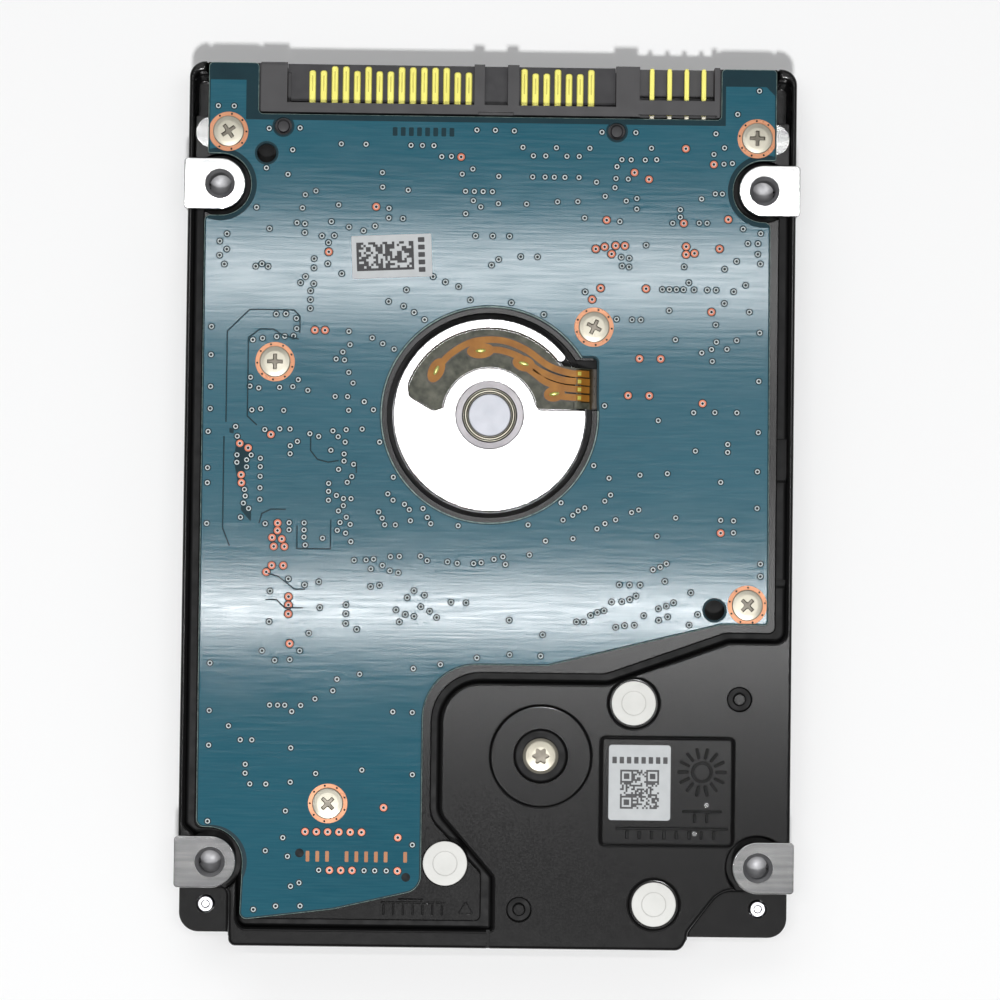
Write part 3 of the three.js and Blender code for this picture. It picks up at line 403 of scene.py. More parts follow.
# ---- Materials ----
class Finish:
    """A procedural material, built up node by node around its shader."""

    def __init__(self, name, **sockets):
        self.material = bpy.data.materials.new(name)
        self.material.use_nodes = True
        self.tree = self.material.node_tree
        self.shader = self.tree.nodes["Principled BSDF"]
        self.place = self.node("ShaderNodeTexCoord").outputs["Object"]
        self.height = None
        for socket, value in sockets.items():
            self.shader.inputs[socket.replace("_", " ")].default_value = value

    def node(self, kind, inputs=None, **settings):
        made = self.tree.nodes.new(kind)
        for key, value in settings.items():
            setattr(made, key, value)
        for key, value in (inputs or {}).items():
            if isinstance(value, bpy.types.NodeSocket):
                self.tree.links.new(value, made.inputs[key])
            else:
                made.inputs[key].default_value = value
        return made

    def math(self, operation, a, b=0.0):
        return self.node("ShaderNodeMath", {0: a, 1: b}, operation=operation).outputs[0]

    def stretched(self, x, y, z):
        return self.node("ShaderNodeMapping", {"Vector": self.place, "Scale": (x, y, z)}).outputs[0]

    def noise(self, scale, detail=3.0, place=None):
        inputs = {"Vector": place or self.place, "Scale": scale, "Detail": detail}
        return self.node("ShaderNodeTexNoise", inputs).outputs[0]

    def ranged(self, value, low, high, out_low, out_high):
        inputs = {0: value, 1: low, 2: high, 3: out_low, 4: out_high}
        return self.node("ShaderNodeMapRange", inputs).outputs[0]

    def mixed(self, factor, first, second):
        made = self.node("ShaderNodeMix", data_type="RGBA")
        for socket, value in ((0, factor), (6, first), (7, second)):
            if isinstance(value, bpy.types.NodeSocket):
                self.tree.links.new(value, made.inputs[socket])
            else:
                made.inputs[socket].default_value = value
        return made.outputs[2]

    def color(self, value):
        self.tree.links.new(value, self.shader.inputs["Base Color"])
        return self

    def mottled(self, scale, first, second, contrast=0.25):
        spread = self.ranged(self.noise(scale), 0.5 - contrast, 0.5 + contrast, 0, 1)
        return self.color(self.mixed(spread, (*first, 1), (*second, 1)))

    def rough(self, scale, low, high):
        spread = self.ranged(self.noise(scale), 0.3, 0.7, low, high)
        self.tree.links.new(spread, self.shader.inputs["Roughness"])
        return self

    def bump(self, height, depth):
        """Adds a relief of the given depth in millimetres."""
        inputs = {"Height": height, "Distance": depth * MM, "Strength": 1.0}
        if self.height is not None:
            inputs["Normal"] = self.height
        self.height = self.node("ShaderNodeBump", inputs).outputs[0]
        self.tree.links.new(self.height, self.shader.inputs["Normal"])
        return self

    def grain(self, scale, depth, detail=3.0):
        return self.bump(self.noise(scale, detail), depth)


def coated_finish():
    """Black electrophoretic coat over a die casting: glossy, with a fine orange peel and a little dust."""
    made = Finish("black_coat", IOR=1.5, Specular_IOR_Level=0.33)
    made.mottled(300, (0.006, 0.0058, 0.006), (0.0082, 0.0078, 0.008), 0.5)
    made.rough(900, 0.15, 0.162)
    return made.grain(1400, 0.0003, 2).grain(6000, 0.00006).material


def ring_distance(made, centre):
    """Distance from an upright axis, for turning marks."""
    shifted = made.node("ShaderNodeVectorMath", {0: made.place, 1: centre}, operation="SUBTRACT").outputs[0]
    flat = made.node("ShaderNodeVectorMath", {0: shifted, 1: (1, 1, 0)}, operation="MULTIPLY").outputs[0]
    return made.node("ShaderNodeVectorMath", {0: flat}, operation="LENGTH").outputs[1]


def machined_finish():
    """The bare mounting pads, milled in arcs round each hole."""
    made = Finish("machined_aluminium", Metallic=1.0)
    split = made.node("ShaderNodeSeparateXYZ", {0: made.place})
    side = made.math("SUBTRACT", made.math("ABSOLUTE", split.outputs[0]), PAD_X * MM)
    middle_y = (PAD_Y[0] + PAD_Y[1]) / 2
    half_y = (PAD_Y[0] - PAD_Y[1]) / 2
    shifted = made.math("SUBTRACT", split.outputs[1], middle_y * MM)
    along = made.math("SUBTRACT", made.math("ABSOLUTE", shifted), half_y * MM)
    local = made.node("ShaderNodeCombineXYZ", {0: side, 1: along})
    away = made.node("ShaderNodeVectorMath", {0: local.outputs[0]}, operation="LENGTH").outputs[1]
    wobble = made.math("MULTIPLY", made.noise(500), 0.4 * MM)
    marks = made.node("ShaderNodeTexNoise", {"W": made.math("ADD", away, wobble), "Scale": 7000.0},
                      noise_dimensions="1D").outputs[0]
    brushed = made.ranged(made.noise(1, 4, made.stretched(120, 1500, 300)), 0.35, 0.65, 0, 1)
    made.color(made.mixed(brushed, (0.6, 0.6, 0.61, 1), (0.8, 0.8, 0.79, 1)))
    made.rough(900, 0.104, 0.116)
    return made.bump(marks, 0.0006).grain(3500, 0.0003).material


def lathe_finish(name, centre, first, second, roughness, marks_depth, pitch=0.12):
    """Bare metal with turning marks round an axis."""
    made = Finish(name, Metallic=1.0, Anisotropic=0.3)
    away = ring_distance(made, (centre[0] * MM, centre[1] * MM, 0))
    marks = made.node("ShaderNodeTexNoise", {"W": away, "Scale": 1 / (pitch * MM)},
                      noise_dimensions="1D").outputs[0]
    made.mottled(180, first, second)
    made.rough(1200, *roughness)
    return made.bump(marks, marks_depth).grain(5000, 0.0006).material


def metal_finish(name, first, second, roughness, grain=4000, depth=0.0012):
    made = Finish(name, Metallic=1.0)
    made.mottled(600, first, second)
    made.rough(1500, *roughness)
    return made.grain(grain, depth).material


def plain_finish(name, first, second, roughness, scale=400, grain=3000, depth=0.002, **sockets):
    made = Finish(name, **sockets)
    made.mottled(scale, first, second)
    made.rough(scale * 2, *roughness)
    return made.grain(grain, depth).material


def board_finish():
    """Teal solder mask over glass cloth: horizontal streaks and a faint weave under a glossy coat."""
    made = Finish("solder_mask", IOR=1.5)
    patches = made.ranged(made.noise(45, 4), 0.35, 0.65, 0, 1)
    base = made.mixed(patches, (0.011, 0.09, 0.131, 1), (0.017, 0.106, 0.152, 1))
    threads = made.noise(1, 3, made.stretched(260, 5200, 1))
    fine = made.ranged(threads, 0.35, 0.7, 0, 0.4)
    made.color(made.mixed(fine, base, (0.032, 0.142, 0.187, 1)))
    streaks = made.noise(1, 2, made.stretched(160, 2600, 1))
    made.tree.links.new(made.ranged(streaks, 0.3, 0.7, 0.06, 0.1), made.shader.inputs["Roughness"])
    weave_x = made.node("ShaderNodeTexWave", {"Vector": made.place, "Scale": 260.0}).outputs[1]
    weave_y = made.node("ShaderNodeTexWave", {"Vector": made.place, "Scale": 300.0},
                        bands_direction="Y").outputs[1]
    made.bump(threads, 0.0004).bump(streaks, 0.0009)
    return made.bump(made.math("MULTIPLY", weave_x, weave_y), 0.0002).material


COATED = coated_finish()
MACHINED = machined_finish()
BOARD = board_finish()
BRACKET = lathe_finish("turned_aluminium", SPINDLE, (0.74, 0.73, 0.74), (0.82, 0.81, 0.82), (0.22, 0.3),
                       0.0008)
BEARING = lathe_finish("turned_steel", SPINDLE, (0.2, 0.19, 0.2), (0.28, 0.27, 0.28), (0.35, 0.45), 0.001)
CAP = plain_finish("bearing_cap_steel", (0.5, 0.52, 0.57), (0.6, 0.61, 0.66), (0.5, 0.6), 700, 2500, 0.001,
                   Metallic=0.3)
LAMINATE = plain_finish("laminate_edge", (0.06, 0.12, 0.12), (0.34, 0.44, 0.4), (0.4, 0.6), 2600)
# Near-black coat that paints the shade in grooves, deep holes and narrow recesses.
PAINTED_SHADE_COAT = plain_finish("painted_shade_coat", (0.003, 0.003, 0.0035), (0.006, 0.006, 0.006), (0.45, 0.6),
                       Specular_IOR_Level=0.2)
TAPPED = metal_finish("tapped_hole", (0.26, 0.26, 0.27), (0.4, 0.4, 0.41), (0.5, 0.62), 3000, 0.003)
# Dark brown-grey that paints the shade inside the screws' driver recesses.
RECESS_PAINTED_SHADE = metal_finish("driver_recess_painted_shade", (0.13, 0.12, 0.1), (0.22, 0.2, 0.17), (0.4, 0.55), 3000, 0.002)
# Darker plastic colour that paints the shade in the connector's recesses and under the board.
HOUSING_PAINTED_SHADE = plain_finish("connector_painted_shade", (0.014, 0.013, 0.016), (0.024, 0.023, 0.026), (0.45, 0.6))
BOARD_EDGE = plain_finish("board_edge", (0.003, 0.024, 0.034), (0.006, 0.034, 0.045), (0.3, 0.4),
                          depth=0.0005, Specular_IOR_Level=0.12)
COPPER_RING = plain_finish("copper_ring", (0.42, 0.17, 0.08), (0.6, 0.28, 0.15), (0.25, 0.4), Metallic=0.35)
TEST_PAD = plain_finish("test_pad_copper", (0.48, 0.12, 0.06), (0.66, 0.2, 0.1), (0.3, 0.4), Metallic=0.2)
NICKEL = plain_finish("nickel", (0.38, 0.355, 0.29), (0.46, 0.435, 0.36), (0.3, 0.4), 500, 2500, 0.0006,
                      Metallic=0.6)
STEEL = metal_finish("steel", (0.5, 0.5, 0.52), (0.64, 0.64, 0.66), (0.28, 0.42))
COVER = metal_finish("cover_steel", (0.52, 0.53, 0.55), (0.62, 0.63, 0.65), (0.3, 0.4), 2500, 0.002)
GOLD = plain_finish("gold", (0.72, 0.66, 0.13), (0.82, 0.77, 0.18), (0.3, 0.38), 300, 2500, 0.0003,
                    Metallic=0.3)
SOLDER = plain_finish("solder", (0.5, 0.52, 0.12), (0.68, 0.7, 0.25), (0.25, 0.35), depth=0.001, Metallic=0.5)
MIRROR = metal_finish("platter_mirror", (0.84, 0.84, 0.86), (0.88, 0.88, 0.89), (0.04, 0.07), 800, 0.0001)
MAGNET = metal_finish("magnet_nickel", (0.55, 0.55, 0.56), (0.66, 0.66, 0.66), (0.2, 0.3))
COPPER = metal_finish("copper_wire", (0.6, 0.25, 0.1), (0.72, 0.34, 0.16), (0.25, 0.4), 6000, 0.006)
HOUSING = plain_finish("connector_plastic", (0.03, 0.029, 0.031), (0.05, 0.048, 0.051), (0.4, 0.55))
CHIP = plain_finish("chip_resin", (0.012, 0.012, 0.013), (0.022, 0.022, 0.023), (0.45, 0.6))
PAPER = plain_finish("paper", (0.47, 0.49, 0.5), (0.54, 0.56, 0.57), (0.45, 0.6), 900, 5000, 0.002)
SEAL = plain_finish("seal_film", (0.6, 0.6, 0.57), (0.68, 0.68, 0.65), (0.3, 0.4), 500, 2500, 0.002)
INK = plain_finish("label_ink", (0.012, 0.012, 0.014), (0.03, 0.03, 0.035), (0.4, 0.55), 2000)
FLEX = plain_finish("polyimide", (0.028, 0.032, 0.022), (0.13, 0.13, 0.1), (0.3, 0.4), 1100, 2500, 0.0015,
                    Specular_IOR_Level=0.2)
# Painted shade on the flex: where it dives under the board, round its traces and on the bracket's crescent
# wall.
FLEX_SHADE = plain_finish("flex_painted_shade", (0.02, 0.014, 0.006), (0.05, 0.032, 0.012), (0.3, 0.4), 900)
FLEX_TRACE = plain_finish("flex_trace", (0.26, 0.1, 0.014), (0.4, 0.175, 0.03), (0.3, 0.38), 700, 2500,
                          0.0015, Specular_IOR_Level=0.2)
PRINT = plain_finish("orange_print", (0.4, 0.15, 0.055), (0.54, 0.23, 0.09), (0.5, 0.6))
WIPED = plain_finish("wiped_gold", (0.42, 0.37, 0.06), (0.62, 0.56, 0.1), (0.3, 0.4), 900, Metallic=0.3)
# Near-black colour of the flat discs painted over holes as their shade.
HOLE_PAINTED_SHADE = plain_finish("via_hole_painted_shade", (0.004, 0.006, 0.008), (0.008, 0.012, 0.014), (0.5, 0.7), 900,
                    Specular_IOR_Level=0.2)
VIA = plain_finish("via_ring", (0.42, 0.5, 0.52), (0.68, 0.74, 0.74), (0.3, 0.45), 1500)
FOAM = plain_finish("foam", (0.012, 0.012, 0.012), (0.03, 0.03, 0.03), (0.85, 1.0), 1500, 1800, 0.05)
RESIN = plain_finish("moulded_resin", (0.55, 0.5, 0.36), (0.66, 0.6, 0.45), (0.4, 0.55))
FELT = plain_finish("felt", (0.6, 0.59, 0.55), (0.78, 0.76, 0.72), (0.9, 1.0), 2500, 4000, 0.05)
RUBBER = plain_finish("rubber", (0.012, 0.012, 0.012), (0.022, 0.022, 0.022), (0.6, 0.8))


# ---- Base casting ----
def pad_sites():
    return [(side, y) for side in SIDES for y in PAD_Y]


PAD_FOOT = 3.2  # lower end of the milled part of a pad


def pad(side, y):
    """A mounting pad, square at the side of the drive and round towards its middle."""
    inner = side * (PAD_X - PAD_RADIUS)
    outer = side * WIDTH / 2
    outer_radius, inner_radius = 0.45, PAD_RADIUS - 0.01
    corners = [
        (outer, y - PAD_RADIUS, outer_radius), (outer, y + PAD_RADIUS, outer_radius),
        (inner, y + PAD_RADIUS, inner_radius), (inner, y - PAD_RADIUS, inner_radius),
    ]
    return plate("pad", corners if side > 0 else corners[::-1], PAD_FOOT, HEIGHT, 0.12)


THREAD_PITCH = 0.5
THREAD_DEPTH = 0.16
DRILL_POINT = 0.6


def threaded_hole(radius, top, depth, sink):
    """Profile of a tapped hole: drill point, thread ridges and countersink."""
    bottom = top - depth
    corners = [(0, bottom - DRILL_POINT, 0), (radius, bottom, 0)]
    turns = int((depth - THREAD_PITCH) / THREAD_PITCH)
    for k in range(turns):
        start = bottom + THREAD_PITCH * k
        corners += [(radius, start + 0.1, 0), (radius + THREAD_DEPTH, start + 0.35, 0)]
    mouth = radius + sink
    corners += [(radius, top - sink, 0), (mouth, top, 0), (mouth, top + 1, 0), (0, top + 1, 0)]
    return corners


SIDE_HOLE_HEIGHT = HEIGHT - 3


def side_hole(side, y):
    """A tapped hole that enters the side face under a pad."""
    tool = turned("cutter", threaded_hole(MOUNT_HOLE, WIDTH / 2, 2.4, 0.25), steps=40)
    tool.data.transform(Matrix.Rotation(math.pi / 2, 4, "Y"))
    if side < 0:
        tool.data.transform(Matrix.Rotation(math.pi, 4, "Z"))
    tool.data.transform(Matrix.Translation(Vector((0, y, SIDE_HOLE_HEIGHT)) * MM))
    return tool


def chamber():
    """The sealed room inside, open to the cover."""
    room = cylinder(*SPINDLE, WELL_RADIUS, 0, FLOOR, 120)
    step = cylinder(*SPINDLE, WELL_RADIUS + 1.1, -0.5, GASKET_TOP, 120)
    return joined(
        room,
        step,
        loft("cutter", CHAMBER_OUTLINE, [(0, -1), (0, FLOOR)]),
        loft("cutter", CHAMBER_OUTLINE, [(1.1, -0.7), (1.1, GASKET_TOP)]),
        loft("cutter", DEEP_OUTLINE, [(0, FLOOR - 1), (0, DEEP_FLOOR)]),
    )


def board_pocket():
    """The pocket under the board, with its screw bosses and the wall round the motor left standing."""
    bosses = [cylinder(*middle(node), 2.3, POCKET - 1, LEDGE) for node in BOARD_SCREWS]
    wall = cylinder(*SPINDLE, 13.4, POCKET - 1, LEDGE, 120)
    return cut(loft("cutter", POCKET_OUTLINE, [(0, POCKET), (0, OVER)]), wall, *bosses)


def annular_groove(x, y, outer, inner, floor, top, edge=0.12):
    """A cutter for a ring-shaped groove, its upper edges broken."""
    wide, narrow = outer + edge, inner - edge
    return turned("cutter", [
        (inner, floor, 0.1), (outer, floor, 0.1), (outer, top - edge, 0), (wide, top, 0),
        (wide, top + 1, 0), (narrow, top + 1, 0), (narrow, top, 0), (inner, top - edge, 0),
    ], (x, y), 48)


def plain_area_recesses():
    """Label field, pivot ring, seal seats and location marks."""
    px, py = PIVOT
    return [
        recess(rectangle(13.15, -38.15, 27.95, -26.15, 0.5), LABEL_FLOOR, RIM, 0.22, 0.2, 0.12),
        round_recess(px, py, 5.7, 8.72, RIM, 0.22, 0.2, 96),
        round_recess(px, py, 3, 8, 8.72, 0.12, 0.3),
        cylinder(px, py, 1.3, DEEP_FLOOR - 1, 8.5),
        *[round_recess(*middle(f"seal_disc_{i}"), 2.85, SEAL_SEAT, RIM, 0.25, 0.2) for i in (1, 2)],
        *[annular_groove(x, y, 1.35, 0.68, 8.4, RIM) for x, y in LOCATION_MARKS],
    ]


def rim_details():
    """A slot at the far end, a deep slot beside each connector corner and two notches in the right rim."""
    tools = [block("cutter", 0.35, -51, 8.1, 0.75, -47.5, OVER)]
    for side in SIDES:
        x0, x1 = sorted((side * 33.8, side * 32.2))
        tools.append(recess(rectangle(x0, 43.9, x1, 48.5, 0.75), 3.5, RIM, 0.1, 0.1))
    for y0, y1 in ((3, 8), (-9, -8)):
        tools.append(block("cutter", 32.7, y0, GROOVE - 1, 33.9, y1, OVER))
    return tools


def side_panels():
    """Long shallow panels in the sides of the casting."""
    tools = []
    for side in SIDES:
        x0, x1 = sorted((side * 34.2, side * 36))
        for y0, y1 in ((-34, -16), (-13, 11), (14, 29)):
            tools.append(block("cutter", x0, y0, 1.6, x1, y1, 6.9))
    return tools


def casting_finish(mesh, face):
    """0 for a coated face of the casting, 1 for a milled one, 2 in a tapped hole and 3 for the near-black
    painted shade in a deep groove, a location mark or the pivot screw's hole.
    """
    corners = [mesh.vertices[i].co / MM for i in face.vertices]
    z = face.center.z / MM

    def within(x, y, radius):
        return all(math.hypot(corner.x - x, corner.y - y) < radius for corner in corners)

    if 5 < z < HEIGHT - 0.02 and any(within(side * PAD_X, y, 1.75) for side, y in pad_sites()):
        return 2
    on_disc = abs(z - DISC_TOP) < 0.04 and any(within(side * DISC[0], DISC[1], 1.8) for side in SIDES)
    on_side = z > PAD_FOOT + 0.1 and all(abs(corner.x) > WIDTH / 2 - 0.35 for corner in corners)
    if z > HEIGHT - 0.16 or on_disc or on_side:
        return 1
    in_groove = 5.5 < z < 7.7 and all(abs(corner.x) < WIDTH / 2 - 0.6 for corner in corners)
    in_mark = z < 8.9 and any(within(x, y, 1.5) for x, y in LOCATION_MARKS)
    in_pivot_hole = z < 8.75 and within(*PIVOT, 3.2)
    return 3 if in_groove or in_mark or in_pivot_hole else 0


def boss(x, y, radius, top, edge):
    return turned("boss", [(0, 7, 0), (radius, 7, 0), (radius, top, edge), (0, top, 0)], (x, y))


def screw_holes():
    """Holes for the board screws and the cover screws, two of which go right through the flanges."""
    holes = [cylinder(*middle(node), 0.95, 6.4, RIM) for node in BOARD_SCREWS]
    for node in COVER_SCREWS:
        x, y = middle(node)
        holes.append(cylinder(x, y, 3.0, UNDER, GASKET_TOP))
        holes.append(cylinder(x, y, 1.05, UNDER, FLANGE + 1 if y < -40 else 4.9))
    return holes


def base_casting():
    body = plate("base_casting", BODY_OUTLINE, COVER_TOP, RIM, 0.35, 0.12)
    cut(
        body,
        recess(LEFT_FLANGE, FLANGE, RIM, 0.35, 0.3, 0.15),
        recess(RIGHT_FLANGE, FLANGE, RIM, 0.35, 0.3, 0.15),
        recess(GROOVE_OUTLINE, GROOVE, RIM, 0.3, 0.35, 0.12),
        *side_panels(),
    )
    ledge = plate("ledge", LEDGE_OUTLINE, GROOVE - 0.4, LEDGE, 0.15)
    combined(ledge, [loft("cutter", BODY_OUTLINE, [(-0.02, 0), (-0.02, HEIGHT)])], "INTERSECT")
    joined(body, ledge)
    cut(body, *[round_recess(side * PAD_X, y, 3.55, GROOVE, RIM, 0.2, 0.2) for side, y in pad_sites()])
    discs = [boss(side * DISC[0], DISC[1], 1.75, DISC_TOP, 0.05) for side in SIDES]
    seal_boss = boss(*middle("seal_disc_3"), 2.62, SEAL_SEAT, 0.15)
    joined(body, *[pad(side, y) for side, y in pad_sites()], *discs, seal_boss)
    cut(
        body,
        board_pocket(),
        chamber(),
        cylinder(*SPINDLE, 11.05, FLOOR - 1, OVER, 120),
        cylinder(*SPINDLE, 11.65, 6.6, OVER, 120),
        block("cutter", 9, 10.85, 6.9, 14.5, 16.6, OVER),  # outlet of the motor's flexible circuit
        block("cutter", -27, 44.1, 3.4, 26.3, 51, OVER),  # opening for the edge connector
        block("cutter", -20.9, -42.2, FLOOR - 1, -8.9, -36.2, POCKET + 1),  # passage to the heads
        *[cylinder(x, y, radius + 0.25, FLOOR + 0.3, RIM, 40) for x, y, radius in PEG_HOLES[:2]],
        *plain_area_recesses(),
        *rim_details(),
        *screw_holes(),
        *[turned("cutter", threaded_hole(MOUNT_HOLE, HEIGHT, 3.2, 0.4), (side * PAD_X, y), 48)
          for side, y in pad_sites()],
        *[side_hole(side, y) for side, y in pad_sites()],
    )
    for finish in (COATED, MACHINED, TAPPED, PAINTED_SHADE_COAT):
        body.data.materials.append(finish)
    for face in body.data.polygons:
        face.material_index = casting_finish(body.data, face)
    return shown(body, COATED, ["base_casting"])


# ---- Marks raised on the casting ----
MARK_HEIGHT = 0.22


def raised(corners, base, height=MARK_HEIGHT):
    return plate("mark", corners, base - 0.2, base + height, 0.09)


def tick(x, y, angle, start, end, width):
    """Corners of a bar that points away from a centre."""
    c, s = math.cos(angle), math.sin(angle)
    box = rectangle(start, -width / 2, end, width / 2, width * 0.45)
    return [(x + u * c - v * s, y + u * s + v * c, r) for u, v, r in box]


def field_marks():
    """A dial, two bars, and ticks below each of them, raised in the label field."""
    x, y = 24.5, -29.9
    base = LABEL_FLOOR
    top = base + MARK_HEIGHT
    ring = [(0.85, 8.5, 0), (1.25, 8.5, 0), (1.25, top, 0.09), (0.85, top, 0.09)]
    marks = [turned("mark", ring, (x, y), 48)]
    marks += [raised(tick(x, y, 2 * math.pi * k / 14, 1.5, 2.8, 0.38), base) for k in range(14)]
    marks.append(raised(rectangle(22.3, -34.5, 26.8, -34.2, 0.12), base))
    marks += [raised(rectangle(x0 - 0.18, -35.6, x0 + 0.18, -34.55, 0.12), base) for x0 in (23.7, 25.1)]
    marks.append(raised(rectangle(14.8, -36.45, 27.5, -36.15, 0.12), base))
    marks += [raised(rectangle(15.9 + 1.4 * k, -37.5, 16.26 + 1.4 * k, -36.55, 0.12), base) for k in range(8)]
    return marks


def far_corner_marks():
    """A triangle, a comb and two bars on the ledge of the casting at the far end."""
    outlines = [[(-1.1, -46.2, 0.1), (-2, -44.7, 0.1), (-2.9, -46.2, 0.1)]]
    outlines += [rectangle(-11.4 + 1.1 * k, -46.4, -11.15 + 1.1 * k, -45.2, 0.1) for k in range(7)]
    outlines.append(rectangle(-11.6, -45.1, -4.4, -44.85, 0.1))
    outlines.append(rectangle(-9.6, -44.7, -6.8, -44.5, 0.08))
    return [raised(outline, LEDGE, 0.12) for outline in outlines]


def casting_marks():
    # The raised marks in the label field take the near-black painted-shade coat, so they read darker than the
    # field.
    shown(merged("casting_marks", field_marks()), PAINTED_SHADE_COAT)
    shown(merged("corner_marks", far_corner_marks()), COATED)
    spots = [turned("spot", [(0, 8.6, 0), (0.28, 8.6, 0), (0.28, 8.9, 0.04), (0, 8.9, 0)], place, 20)
             for place in ((25.05, -33.6), (23.7, -36.85))]
    shown(merged("casting_spots", spots), MACHINED)


